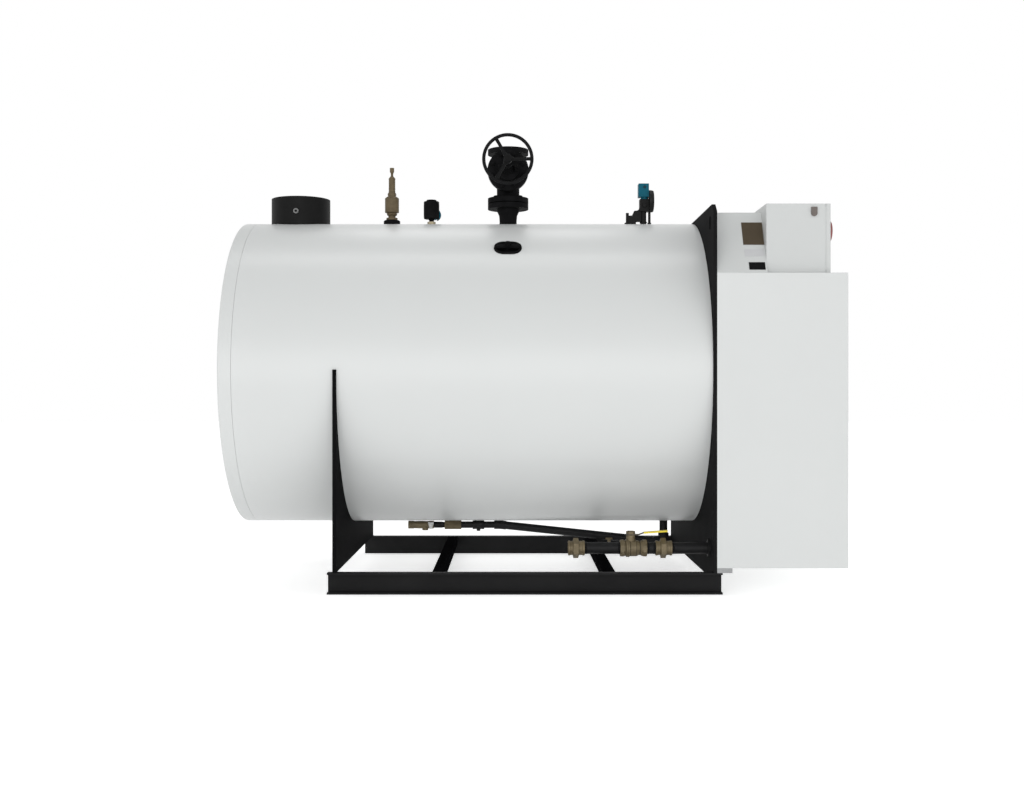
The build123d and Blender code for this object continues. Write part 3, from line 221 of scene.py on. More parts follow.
# Nodes that take another look than their slot's; the darker cabinet white and the lighter rail and front
# plate blacks are copies of one paint, tuned as painted light and shade.
OWN_LOOKS = {
    "hood": "cabinet_shaded_white",
    "control_cabinet": "cabinet_shaded_white",
    "cabinet_door": "cabinet_shaded_white",
    "cross_tubes": "tube_black",
    "front_plate": "front_plate_black_lit",
    "rear_saddle_plate": "saddle_black",
    "handwheel": "wheel_black",
    "feed_valve_lever": "lever_grey",
    "near_base_rail": "rail_black_lit",
    "far_base_rail": "rail_black_lit",
}
slot_of = {entry["node"]: entry["material_slot"] for entry in frame["record"]["subparts"]}
for name, piece in nodes.items():
    piece.data.materials.clear()
    piece.data.materials.append(LOOKS[OWN_LOOKS.get(name, slot_of[name])])


# Mesh tools

# Shares of a nut's radius and height.
WASHER_REACH, WASHER_SHARE = 1.18, 0.18
NUT_FOOT_REACH, NUT_FOOT_SHARE = 0.94, 0.12
NUT_TOP_REACH, NUT_TOP_SHARE = 0.87, 0.86
# Shares of a stud's radius and height.
STUD_PITCH, STUD_ROOT, STUD_THREAD_SHARE = 0.3, 0.88, 0.85
STUD_TIP = ((0.85, 0.86), (0.6, 1), (0, 1))
# Shares of a screw head's radius and height.
SCREW_DOME = ((1, 0), (1, 0.4), (0.8, 0.85), (0.6, 1))
SCREW_SOCKET = ((0.6, 1), (0.5, 1), (0.5, 0.4), (0, 0.4))
BEAD_STEP, BEAD_RIPPLE = 1.1, 0.14
COLLAR_SIDES = 64


class Shape:
    """Points and faces gathered for one piece."""

    def __init__(self):
        self.mesh = bmesh.new()

    def lathe(self, origin, axis, profile, sides=32, turn=0.0):
        """Turned form along an axis, from (radius, distance) points; few sides give a prism."""
        spin = Vector(axis).to_track_quat("Z", "Y").to_matrix()
        rings = []
        for radius, distance in profile:
            if radius == 0:
                rings.append([self.mesh.verts.new(Vector(origin) + spin @ Vector((0, 0, distance)))])
                continue
            ring = []
            for i in range(sides):
                angle = turn + math.tau * i / sides
                point = Vector((radius * math.cos(angle), radius * math.sin(angle), distance))
                ring.append(self.mesh.verts.new(Vector(origin) + spin @ point))
            rings.append(ring)
        for low, high in zip(rings, rings[1:]):
            self.join(low, high, sides)

    def join(self, low, high, sides):
        """Faces between two rings, either of which may be a single point."""
        if len(low) == 1 and len(high) == 1:
            return
        for i in range(sides):
            k = (i + 1) % sides
            corners = [low[i % len(low)], low[k % len(low)], high[k % len(high)], high[i % len(high)]]
            face = [corner for n, corner in enumerate(corners) if corner not in corners[:n]]
            self.mesh.faces.new(face)

    def nut(self, origin, axis, radius, height, turn=0.0):
        """Hexagon nut with chamfered corners and a washer under it."""
        washer, reach = height * WASHER_SHARE, radius * WASHER_REACH
        self.lathe(origin, axis, ((0, 0), (reach, 0), (reach, washer), (0, washer)), sides=24)
        self.lathe(origin, axis, ((0, washer), (radius * NUT_FOOT_REACH, washer),
                                  (radius, washer + height * NUT_FOOT_SHARE),
                                  (radius, height * NUT_TOP_SHARE), (radius * NUT_TOP_REACH, height),
                                  (0, height)), HEXAGON, turn)

    def stud(self, origin, axis, radius, height):
        """Threaded end of a bolt, with a pointed tip."""
        pitch = radius * STUD_PITCH
        profile = [(0, 0)]
        for i in range(int(height * STUD_THREAD_SHARE / pitch)):
            profile += [(radius, i * pitch), (radius * STUD_ROOT, (i + 0.5) * pitch)]
        profile += [(radius * reach, height * rise) for reach, rise in STUD_TIP]
        self.lathe(origin, axis, profile, sides=16)

    def screw(self, origin, axis, radius, height):
        """Low domed screw head with a hexagon socket."""
        for outline, sides in ((SCREW_DOME, 20), (SCREW_SOCKET, 12)):
            profile = [(radius * reach, height * rise) for reach, rise in outline]
            self.lathe(origin, axis, profile, sides)

    def slab(self, low, high, edge):
        """Box between two corners, with bevelled edges."""
        low, high = Vector(low), Vector(high)
        middle, span = (low + high) / 2, high - low
        made = bmesh.ops.create_cube(self.mesh, size=1.0)["verts"]
        for vert in made:
            vert.co = Vector(middle[i] + vert.co[i] * span[i] for i in range(3))
        edges = {e for vert in made for e in vert.link_edges}
        bmesh.ops.bevel(self.mesh, geom=list(edges), offset=edge, segments=2, affect="EDGES", profile=0.5)

    def tube(self, points, radius, sides=8, closed=False, ripple=0.0):
        """Round bar through a list of points; a ripple makes it a weld bead."""
        points = [Vector(p) for p in points]
        count = len(points)
        rings = []
        for i, point in enumerate(points):
            before = points[i - 1] if closed or i else point
            after = points[(i + 1) % count] if closed or i < count - 1 else point
            turn = (after - before).to_track_quat("Z", "Y").to_matrix()
            size = radius * (1 + ripple * (i % 2))
            rings.append([
                self.mesh.verts.new(point + turn @ Vector((size * math.cos(a), size * math.sin(a), 0)))
                for a in (math.tau * k / sides for k in range(sides))
            ])
        for low, high in zip(rings, rings[1:] + rings[:1] if closed else rings[1:]):
            self.join(low, high, sides)
        if not closed:
            self.mesh.faces.new(rings[0][::-1])
            self.mesh.faces.new(rings[-1])

    def bead(self, start, end, radius=2.5 * MM):
        """Straight weld bead with ripples."""
        start, end = Vector(start), Vector(end)
        steps = max(4, int((end - start).length / (radius * BEAD_STEP)))
        self.tube([start.lerp(end, i / steps) for i in range(steps + 1)], radius, ripple=BEAD_RIPPLE)

    def collar(self, x, inner, outer, height):
        """Ring that lies on the round jacket about an upright pipe."""
        rings = []
        for radius, rise in ((inner, -height), (inner, height), (outer - height, height), (outer, -height)):
            ring = []
            for i in range(COLLAR_SIDES):
                angle = math.tau * i / COLLAR_SIDES
                y = radius * math.sin(angle)
                z = AXIS_Z + math.sqrt(JACKET_RADIUS ** 2 - y ** 2) + rise
                ring.append(self.mesh.verts.new((x + radius * math.cos(angle), y, z)))
            rings.append(ring)
        for low, high in zip(rings, rings[1:] + rings[:1]):
            self.join(low, high, COLLAR_SIDES)

    def piece(self, name, look, body, slot=None, sharp=35):
        """Turns the gathered faces into a piece that rides on a body."""
        bmesh.ops.recalc_face_normals(self.mesh, faces=self.mesh.faces)
        data = bpy.data.meshes.new(name)
        self.mesh.to_mesh(data)
        self.mesh.free()
        data.materials.append(look)
        data.shade_smooth()
        data.set_sharp_from_angle(angle=math.radians(sharp))
        made = bpy.data.objects.new(name, data)
        bpy.context.scene.collection.objects.link(made)
        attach(made, body)
        return made


def around(centre, axis, radius, count, start=0.0):
    """Places spaced evenly on a circle."""
    spin = Vector(axis).to_track_quat("Z", "Y").to_matrix()
    for i in range(count):
        angle = start + math.tau * i / count
        yield Vector(centre) + spin @ Vector((radius * math.cos(angle), radius * math.sin(angle), 0))


def middle_of(node):
    """Centre of a node's box."""
    low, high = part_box(node)
    return (low + high) / 2


def in_mm(*points):
    """Outline points given in millimetres, as metres."""
    return tuple((radius * MM, distance * MM) for radius, distance in points)


JACKET_LOW, JACKET_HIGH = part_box("jacket")
JACKET_RADIUS = (JACKET_HIGH.y - JACKET_LOW.y) / 2
AXIS_Z = (JACKET_HIGH.z + JACKET_LOW.z) / 2
SHELL_TOP = JACKET_HIGH.z
STEAM_X = middle_of("steam_nozzle").x
JOINT_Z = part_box("steam_nozzle")[1].z
VALVE_Z = middle_of("handwheel").z
WHEEL_LOW, WHEEL_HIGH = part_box("handwheel")


# Steam valve

FLANGE_DEPTH = 21.6 * MM
FLANGE_BOLT_CIRCLE, FLANGE_BOLTS = 62.5 * MM, 4
FLANGE_NUT_RADIUS, FLANGE_NUT_HEIGHT = 13 * MM, 6 * MM
BONNET_FLANGE = 19 * MM
BONNET_BOLTS, BONNET_BOLT_START = 8, math.radians(22.5)
BONNET_NUT_CIRCLE, BONNET_HEAD_CIRCLE = 65 * MM, 70 * MM
BONNET_NUT_RADIUS, BONNET_NUT_HEIGHT = 9.5 * MM, 9 * MM
BONNET_STUD_LIFT, BONNET_STUD_RADIUS, BONNET_STUD_LENGTH = 8 * MM, 5.5 * MM, 5 * MM
BONNET_HEAD = in_mm((0, 0), (8, 0), (8, 5), (7, 6), (0, 6))
GLAND_REACH = 32 * MM
GLAND_NUT = in_mm((19, 0), (24, 0), (25, 2), (25, 14), (22, 17), (19, 17))
BUSH_NUT = in_mm((10, 0), (17, 0), (17, 3), (15, 4.5), (10, 4.5))


def valve_bolting():
    """Bolts of the flange joint, the bonnet and the gland."""
    shape = Shape()
    for place in around((STEAM_X, 0, JOINT_Z), Z, FLANGE_BOLT_CIRCLE, FLANGE_BOLTS, math.radians(45)):
        shape.nut(place + Z * FLANGE_DEPTH, Z, FLANGE_NUT_RADIUS, FLANGE_NUT_HEIGHT)
    shape.piece("flange_bolts", LOOKS["valve_black"], "boiler", "valve_black")
    shape = Shape()
    bonnet_front, bonnet_back = (corner.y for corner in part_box("valve_bonnet_and_yoke"))
    face = bonnet_back - BONNET_FLANGE
    for place in around((STEAM_X, face, VALVE_Z), -Y, BONNET_NUT_CIRCLE, BONNET_BOLTS, BONNET_BOLT_START):
        shape.nut(place, -Y, BONNET_NUT_RADIUS, BONNET_NUT_HEIGHT, random.uniform(0, 1))
        shape.stud(place - Y * BONNET_STUD_LIFT, -Y, BONNET_STUD_RADIUS, BONNET_STUD_LENGTH)
    for place in around((STEAM_X, bonnet_back + BONNET_FLANGE, VALVE_Z), Y, BONNET_HEAD_CIRCLE, BONNET_BOLTS,
                        BONNET_BOLT_START):
        shape.lathe(place, Y, BONNET_HEAD, HEXAGON)
    shape.piece("bonnet_bolts", LOOKS["valve_black"], "boiler", "valve_black")
    shape = Shape()
    shape.lathe(Vector((STEAM_X, face - GLAND_REACH, VALVE_Z)), -Y, GLAND_NUT, HEXAGON)
    shape.lathe(Vector((STEAM_X, bonnet_front, VALVE_Z)), -Y, BUSH_NUT, HEXAGON)
    shape.piece("gland_nut", LOOKS["valve_black"], "boiler", "valve_black")


# Millimetres in front of the shell's axis.
STEM_THREADS = ((203, 244), (294, 314))
STEM_PITCH = 3.0
STEM_CORE, STEM_ROOT, STEM_CREST = 9 * MM, 9.4 * MM, 10.4 * MM


def stem_threads():
    """Thread on the stem, in the yoke's window and behind the handwheel."""
    shape = Shape()
    for start, end in STEM_THREADS:
        profile = [(STEM_CORE, 0)]
        for i in range(int((end - start) / STEM_PITCH)):
            profile += [(STEM_ROOT, i * STEM_PITCH * MM), (STEM_CREST, (i + 0.4) * STEM_PITCH * MM)]
        profile.append((STEM_CORE, (end - start) * MM))
        shape.lathe((STEAM_X, -start * MM, VALVE_Z), -Y, profile, sides=24)
    shape.piece("stem_thread", LOOKS["stem_dark"], "valve_stem", "stem_dark")


SPOKES = 3
WHEEL_RIM_RADIUS = 6 * MM
WHEEL_HUB_START = 15 * MM
WHEEL_NUT = in_mm((10, 0), (17, 0), (17, 2), (16.5, 2), (16.5, 8), (14, 10), (10, 10))
WHEEL_NUT_TURN = 0.2
SPOKE_FOOT = in_mm((9, 0), (7.4, 6), (6.4, 12), (6.1, 30))
# Radius, and distance short of the rim.
SPOKE_TIP = in_mm((6.1, 40), (6.8, 24), (8, 17))


def wheel_details():
    """Nut and washer on the handwheel's hub, and the swellings where its spokes meet rim and hub."""
    shape = Shape()
    front = Vector((STEAM_X, WHEEL_LOW.y, VALVE_Z))
    centre_y = (WHEEL_LOW.y + WHEEL_HIGH.y) / 2
    rim = WHEEL_HIGH.x - STEAM_X - WHEEL_RIM_RADIUS
    spoke = SPOKE_FOOT + tuple((radius, rim - short) for radius, short in SPOKE_TIP)
    shape.lathe(front, -Y, WHEEL_NUT, HEXAGON, WHEEL_NUT_TURN)
    for i in range(SPOKES):
        angle = math.tau * i / SPOKES
        out = Vector((math.cos(angle), 0, math.sin(angle)))
        hub = Vector((STEAM_X, centre_y, VALVE_Z)) + out * WHEEL_HUB_START
        shape.lathe(hub, out, spoke, sides=16)
    shape.piece("handwheel_hub_nut", LOOKS["wheel_black"], "handwheel", "valve_black")


# Fittings on the shell

SEAL_CLEARANCE, SEAL_REACH, SEAL_HEIGHT = 0.2 * MM, 3.2 * MM, 0.8 * MM
NOZZLE_RADIUS, NOZZLE_SEAL_WIDTH, NOZZLE_SEAL_HEIGHT = 34.4 * MM, 3.5 * MM, 0.9 * MM
TRIM_PIPE_RADIUS, TRIM_SEAL_RADIUS = 12 * MM, 14.8 * MM


def jacket_collars():
    """Sealing rings where the nozzles leave the jacket."""
    shape = Shape()
    for node in ("flue_collar", "safety_valve_base", "air_vent_base"):
        low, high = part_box(node)
        radius = (high.x - low.x) / 2
        shape.collar((low.x + high.x) / 2, radius + SEAL_CLEARANCE, radius + SEAL_REACH, SEAL_HEIGHT)
    shape.collar(STEAM_X, NOZZLE_RADIUS, NOZZLE_RADIUS + NOZZLE_SEAL_WIDTH, NOZZLE_SEAL_HEIGHT)
    shape.collar(middle_of("pressure_transmitter").x, TRIM_PIPE_RADIUS, TRIM_SEAL_RADIUS, SEAL_HEIGHT)
    shape.piece("jacket_seals", LOOKS["sealant"], "boiler")


HANDHOLE_LEAN = math.radians(39.4)
HANDHOLE_RISE = 13 * MM
HANDHOLE_WASHER = in_mm((12, 0), (15, 0), (15, 1.8), (12, 1.8))
HANDHOLE_STUD_LIFT, HANDHOLE_STUD_RADIUS, HANDHOLE_STUD_LENGTH = 11 * MM, 6.3 * MM, 3.2 * MM


def handhole_details():
    """Washer and thread of the handhole's yoke."""
    out = Vector((0, -math.sin(HANDHOLE_LEAN), math.cos(HANDHOLE_LEAN)))
    rim = Vector((STEAM_X, 0, AXIS_Z)) + out * (JACKET_RADIUS + HANDHOLE_RISE)
    shape = Shape()
    shape.lathe(rim, out, HANDHOLE_WASHER, sides=28)
    shape.stud(rim + out * HANDHOLE_STUD_LIFT, out, HANDHOLE_STUD_RADIUS, HANDHOLE_STUD_LENGTH)
    shape.piece("handhole_washer", LOOKS["valve_black"], "boiler", "valve_black")


# Heights of the safety valve's rings are shares of its height.
SAFETY_FLATS_SHARE = 0.1
SAFETY_FLATS = in_mm((16, 0), (21, 0), (22.6, 1.4), (22.6, 6.2), (21, 7.6), (16, 7.6))
SAFETY_BODY_SHARES = (0.165, 0.405)
SAFETY_BODY_RING = in_mm((27, -2), (28.1, -1), (28.1, 1), (27, 2))
SAFETY_NECK_SHARES = (0.545, 0.60, 0.79)
SAFETY_NECK_RING = in_mm((12.5, -1.6), (13.7, -1), (13.7, 1), (12.5, 1.6))
SAFETY_LOCK_SHARE = 0.49
SAFETY_LOCK_NUT = in_mm((12, -4), (16.6, -4), (17.4, -3), (17.4, 3), (16.6, 4), (12, 4))
SAFETY_OUTLET_RISE = 58 * MM
SAFETY_OUTLET_LIP = in_mm((13.6, 0), (21, 0), (22.4, 1.2), (22.4, 12), (21, 13))
SEAL_PIN_REACH, SEAL_PIN_RADIUS = 7 * MM, 1.6 * MM


def safety_valve_details():
    """Wrench flats, spring housing rings, sealing pin and the outlet's lip."""
    low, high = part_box("safety_valve")
    x, foot = middle_of("safety_valve_base").x, low.z
    height = high.z - low.z
    shape = Shape()
    shape.lathe((x, 0, foot + height * SAFETY_FLATS_SHARE), Z, SAFETY_FLATS, HEXAGON, math.radians(30))
    for share in SAFETY_BODY_SHARES:
        shape.lathe((x, 0, foot + height * share), Z, SAFETY_BODY_RING, sides=48)
    for share in SAFETY_NECK_SHARES:
        shape.lathe((x, 0, foot + height * share), Z, SAFETY_NECK_RING, sides=40)
    shape.lathe((x, 0, foot + height * SAFETY_LOCK_SHARE), Z, SAFETY_LOCK_NUT, HEXAGON, math.radians(10))
    shape.lathe((x, high.y, foot + SAFETY_OUTLET_RISE), -Y, SAFETY_OUTLET_LIP, OCTAGON)
    pin_z = high.z - SEAL_PIN_REACH
    shape.tube([(x - SEAL_PIN_REACH, 0, pin_z), (x + SEAL_PIN_REACH, 0, pin_z)], SEAL_PIN_RADIUS, sides=12)
    shape.piece("safety_valve_flats", LOOKS["bronze"], "boiler", "bronze")


VENT_RING_SHARES = (0.2, 0.84)
VENT_RING = in_mm((30, -1.6), (30.9, -0.8), (30.9, 0.8), (30, 1.6))
VENT_RIBS, VENT_RIB_RADIUS, VENT_RIB_CIRCLE = 24, 0.9 * MM, 30.3 * MM
VENT_RIB_FOOT_SHARE, VENT_RIB_SHARE = 0.24, 0.56
KNURLS, KNURL_RADIUS, KNURL_DEPTH = 36, 0.7 * MM, 0.3 * MM
KNURL_START, KNURL_LENGTH = 3 * MM, 14 * MM
VENT_CAP_BOSS = in_mm((0, 0.4), (8, 0.4), (9, 0))
# Shares of the cap's radius, and heights.
VENT_CAP_RING = ((0.8, 0), (0.84, 0.6 * MM), (0.9, 0.6 * MM), (0.94, 0))


def vent_details():
    """Ribs on the vent's body and the knurl of its side cap."""
    low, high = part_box("air_vent")
    x = middle_of("air_vent_base").x
    height = high.z - low.z
    shape = Shape()
    for share in VENT_RING_SHARES:
        shape.lathe((x, 0, low.z + height * share), Z, VENT_RING, sides=48)
    foot_z = low.z + height * VENT_RIB_FOOT_SHARE
    for i in range(VENT_RIBS):
        angle = math.tau * i / VENT_RIBS
        foot = Vector((x + VENT_RIB_CIRCLE * math.cos(angle), VENT_RIB_CIRCLE * math.sin(angle), foot_z))
        shape.tube([foot, foot + Z * height * VENT_RIB_SHARE], VENT_RIB_RADIUS, sides=6)
    shape.piece("air_vent_ribs", LOOKS["valve_black"], "boiler", "valve_black")
    cap_low, cap_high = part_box("air_vent_cap")
    radius = (cap_high.z - cap_low.z) / 2
    centre = Vector((cap_high.x - radius, cap_low.y, cap_high.z - radius))
    shape = Shape()
    for i in range(KNURLS):
        angle = math.tau * i / KNURLS
        out = Vector((math.cos(angle), 0, math.sin(angle)))
        start = Vector((centre.x, cap_low.y + KNURL_START, centre.z)) + out * (radius - KNURL_DEPTH)
        shape.tube([start, start + Y * KNURL_LENGTH], KNURL_RADIUS, sides=6)
    face = VENT_CAP_BOSS + tuple((radius * share, rise) for share, rise in VENT_CAP_RING)
    shape.lathe((centre.x, cap_low.y, centre.z), -Y, face, sides=40)
    shape.piece("air_vent_cap_knurl", LOOKS["teal_plastic"], "boiler", "teal_plastic")


BUTTON_SHIFT, BUTTON_DROP = 3.4 * MM, 14 * MM
BUTTON = in_mm((0, 0), (6, 0), (6, 0.8), (5, 1.2), (0, 1.2))
TRIM_PLUG = in_mm((0, 0), (10, 0), (10, 5), (8.8, 6), (0, 6))
RISER_NUT_LIFT = 8 * MM
RISER_NUT = in_mm((11.5, 0), (14.5, 0.6), (14.5, 6), (11.5, 7))


def trim_details():
    """Transmitter's dark button, plugs of the manifold and a nut at the riser's foot."""
    low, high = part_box("pressure_transmitter")
    middle = (low + high) / 2
    shape = Shape()
    shape.lathe((middle.x + BUTTON_SHIFT, low.y, high.z - BUTTON_DROP), -Y, BUTTON, sides=24)
    shape.piece("transmitter_button", LOOKS["dark_teal"], "boiler")
    shape = Shape()
    block_low, block_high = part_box("trim_manifold")
    centre = (block_low + block_high) / 2
    shape.lathe((centre.x, block_low.y, centre.z), -Y, TRIM_PLUG, HEXAGON)
    shape.lathe((centre.x, block_high.y, centre.z), Y, TRIM_PLUG, HEXAGON)
    shape.lathe((middle.x, 0, SHELL_TOP + RISER_NUT_LIFT), Z, RISER_NUT, HEXAGON)
    shape.piece("trim_plugs", LOOKS["trim_black"], "boiler", "trim_black")


GAUGE_DEPTH, GAUGE_NECK_RADIUS = 20 * MM, 16 * MM
# Shares of the gauge's radius, and distances from its back.
GAUGE_CASE = ((0, 0), (1, 0), (1, 6 * MM), (0.97, 14 * MM), (0.93, 17 * MM), (0.87, 17.6 * MM),
              (0.85, 16 * MM), (0.85, 9 * MM), (0, 9 * MM))
GAUGE_WINDOW = ((0.855, 16.4 * MM), (0.75, 18 * MM), (0.5, 19.4 * MM), (0.25, 19.85 * MM), (0, 20 * MM))
WINDOW_THICKNESS = 1.2 * MM
DIAL_LIFT, DIAL_SHARE, DIAL_THICKNESS = 9.2 * MM, 0.84, 0.5 * MM
MARKS, LONG_MARK_EVERY, MARK_SHARE, MARK_RADIUS = 41, 5, 0.76, 0.35 * MM
LONG_MARK, SHORT_MARK, MARK_LIFT = 5 * MM, 2.6 * MM, 0.7 * MM
SCALE_START, SCALE_SWEEP = -135, 270
NEEDLE_LIFT, NEEDLE_TAIL, NEEDLE_REACH, NEEDLE_RADIUS = 2 * MM, 9 * MM, 28 * MM, 0.8 * MM
NEEDLE_HUB = in_mm((0, 0), (4, 0), (4, 2.4), (3, 3), (0, 3))
NEEDLE_HUB_SINK = 1.5 * MM


def window_glass():
    """Clear glass with a faint unevenness."""
    material, tree, shader = new_material("window_glass")
    shader.inputs["Transmission Weight"].default_value = 1.0
    shader.inputs["IOR"].default_value = 1.45
    tint = spread(tree, noise(tree, scale=30.0), low=0.02, high=0.05)
    tree.links.new(tint, shader.inputs["Roughness"])
    return material


def gauge_face():
    """Bezel, dial, marks and pointer on the gauge's front, under its bulging window."""
    low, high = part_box("pressure_gauge")
    middle = (low + high) / 2
    radius = (high.z - low.z) / 2
    back = high.x - GAUGE_DEPTH
    shape = Shape()
    case_outline = [(radius * share, distance) for share, distance in GAUGE_CASE]
    shape.lathe((back, middle.y, middle.z), X, case_outline, sides=64)
    shape.lathe((low.x, middle.y, middle.z), X, ((0, 0), (GAUGE_NECK_RADIUS, 0),
                                                 (GAUGE_NECK_RADIUS, back - low.x), (0, back - low.x)),
                sides=24)
    case = shape.piece("gauge_case", LOOKS["gauge_black"], "boiler", "gauge_black")
    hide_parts("pressure_gauge")
    shape = Shape()
    dial_x = back + DIAL_LIFT
    dial_radius = radius * DIAL_SHARE
    shape.lathe((dial_x, middle.y, middle.z), X, ((dial_radius, 0), (dial_radius, DIAL_THICKNESS),
                                                  (0, DIAL_THICKNESS)), sides=48)
    shape.piece("gauge_dial", LOOKS["dial_white"], "boiler", sharp=20)
    shape = Shape()
    for i in range(MARKS):
        angle = math.radians(SCALE_START + SCALE_SWEEP * i / (MARKS - 1))
        out = Vector((0, math.sin(angle), math.cos(angle)))
        length = SHORT_MARK if i % LONG_MARK_EVERY else LONG_MARK
        start = Vector((dial_x + MARK_LIFT, middle.y, middle.z)) + out * radius * MARK_SHARE
        shape.tube([start - out * length, start], MARK_RADIUS, sides=6)
    zero = math.radians(SCALE_START)
    needle = Vector((0, math.sin(zero), math.cos(zero)))
    hub = Vector((dial_x + NEEDLE_LIFT, middle.y, middle.z))
    shape.lathe(hub - X * NEEDLE_HUB_SINK, X, NEEDLE_HUB, sides=24)
    shape.tube([hub - needle * NEEDLE_TAIL, hub + needle * NEEDLE_REACH], NEEDLE_RADIUS, sides=8)
    shape.piece("gauge_marks", LOOKS["sealant"], "boiler")
    glass = window_glass()
    shape = Shape()
    bulge = [(radius * share, distance) for share, distance in GAUGE_WINDOW]
    shape.lathe((back, middle.y, middle.z), X, bulge, sides=48)
    shape.lathe((back - WINDOW_THICKNESS, middle.y, middle.z), X, bulge, sides=48)
    shape.piece("gauge_window", glass, "boiler")


# Feed and drain lines

UNION_LENGTH, UNION_NUT_SHARE, UNION_NUT_REACH = 59.5 * MM, 0.47, 9 * MM
UNION_END_BEAD = in_mm((25, 0), (27, 1.2), (27, 7), (25, 9))
UNION_NUT_CHAMFER = in_mm((31, 0), (31, 0.8), (26, 2.4), (25, 2.4))
FEED_VALVE_END = in_mm((29, 0.4), (31.5, 1.6), (31.5, 13), (29, 15))
# Share of the valve's length, radius, width.
VALVE_GROOVES = ((0.2, 27.6 * MM, 2 * MM), (0.285, 32.6 * MM, 1 * MM), (0.38, 30 * MM, 1.6 * MM),
                 (0.6, 30 * MM, 1.6 * MM), (0.74, 25.5 * MM, 3 * MM))
GROOVE_DEPTH = 2 * MM
LEVER_CAP_SINK = 1.5 * MM
LEVER_CAP_TOP = in_mm((16.4, 0), (14.2, 1.5), (6, 1.5), (5, 1), (0, 1))
GRIP_RIBS, GRIP_RIB_RADIUS, GRIP_RIB_INSET = 7, 0.8 * MM, 3 * MM
# Millimetres from the grip's end, and from rib to rib.
GRIP_RIB_START, GRIP_RIB_PITCH = 8, 7
GRIP_RISE = 6.4 * MM


def feed_details():
    """Beaded ends, chamfered nuts and grooves along the feed line, and the lever's cap and grip ribs."""
    low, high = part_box("feed_unions")
    y, z = (low.y + high.y) / 2, (low.z + high.z) / 2
    shape = Shape()
    for start in (low.x, high.x - UNION_LENGTH):
        for place, axis in ((start, X), (start + UNION_LENGTH, -X)):
            shape.lathe((place, y, z), axis, UNION_END_BEAD, sides=40)
        nut_x = start + UNION_LENGTH * UNION_NUT_SHARE
        for side in (-1, 1):
            shape.lathe((nut_x + side * UNION_NUT_REACH, y, z), X * side, UNION_NUT_CHAMFER, sides=40)
    valve_low, valve_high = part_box("feed_valve_body")
    for place, axis in ((valve_low.x, X), (valve_high.x, -X)):
        shape.lathe((place, y, z), axis, FEED_VALVE_END, OCTAGON, math.radians(22.5))
    shape.piece("feed_fitting_rings", LOOKS["brass"], "boiler", "brass")
    shape = Shape()
    for share, radius, width in VALVE_GROOVES:
        x = valve_low.x + share * (valve_high.x - valve_low.x)
        floor = radius - GROOVE_DEPTH
        shape.lathe((x, y, z), X, ((floor, -width / 2), (radius, -width / 2), (radius, width / 2),
                                   (floor, width / 2)), sides=40)
    shape.piece("feed_valve_grooves", LOOKS["brass_shadow"], "boiler", "brass")
    cap = middle_of("feed_lever_cap")
    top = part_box("feed_lever_cap")[1].z
    shape = Shape()
    shape.lathe((cap.x, cap.y, top - LEVER_CAP_SINK), Z, LEVER_CAP_TOP, HEXAGON)
    shape.piece("feed_lever_cap_top", LOOKS["brass"], "feed_lever", "brass")
    shape = Shape()
    grip_low, grip_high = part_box("feed_lever_grip")
    for i in range(GRIP_RIBS):
        x = grip_high.x - (GRIP_RIB_START + GRIP_RIB_PITCH * i) * MM
        share = (x - grip_low.x) / (grip_high.x - grip_low.x)
        z_top = grip_high.z - (1 - share) * GRIP_RISE
        shape.tube([(x, grip_low.y + GRIP_RIB_INSET, z_top), (x, grip_high.y - GRIP_RIB_INSET, z_top)],
                   GRIP_RIB_RADIUS, sides=8)
    shape.piece("feed_grip_ribs", LOOKS["grip_yellow"], "feed_lever", "grip_yellow")


FEED_THREADS, FEED_PITCH = 4, 2.2
FEED_CORE, FEED_ROOT, FEED_CREST = 21 * MM, 21.2 * MM, 22.0 * MM
FEED_THREAD_LENGTH = 8.8 * MM


def thread_collars():
    """Exposed thread ends where the black pipes enter their fittings."""
    shape = Shape()
    low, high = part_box("feed_unions")
    y, z = (low.y + high.y) / 2, (low.z + high.z) / 2
    valve_low, valve_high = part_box("feed_valve_body")
    places = ((low.x + UNION_LENGTH, X), (valve_low.x, -X), (valve_high.x, X), (high.x - UNION_LENGTH, -X),
              (high.x, X))
    profile = []
    for i in range(FEED_THREADS):
        profile += [(FEED_ROOT, i * FEED_PITCH * MM), (FEED_CREST, (i * FEED_PITCH + 1.1) * MM)]
    profile.append((FEED_CORE, FEED_THREAD_LENGTH))
    for x, axis in places:
        shape.lathe((x, y, z), axis, profile, sides=36)
    shape.piece("feed_pipe_threads", LOOKS["pipe_black"], "boiler", "pipe_black")


TEE_RIM = in_mm((17, 0), (18.4, 1), (18.4, 6), (17, 8))
DRAIN_NUT_RADIUS, DRAIN_NUT_HEIGHT = 5.5 * MM, 4 * MM
DRAIN_VALVE_END = in_mm((15, 0.3), (17, 1.2), (17, 15), (15, 17))
CLIP_SCREW_INSET, CLIP_SCREW_RADIUS, CLIP_SCREW_HEIGHT = 15 * MM, 5 * MM, 2 * MM


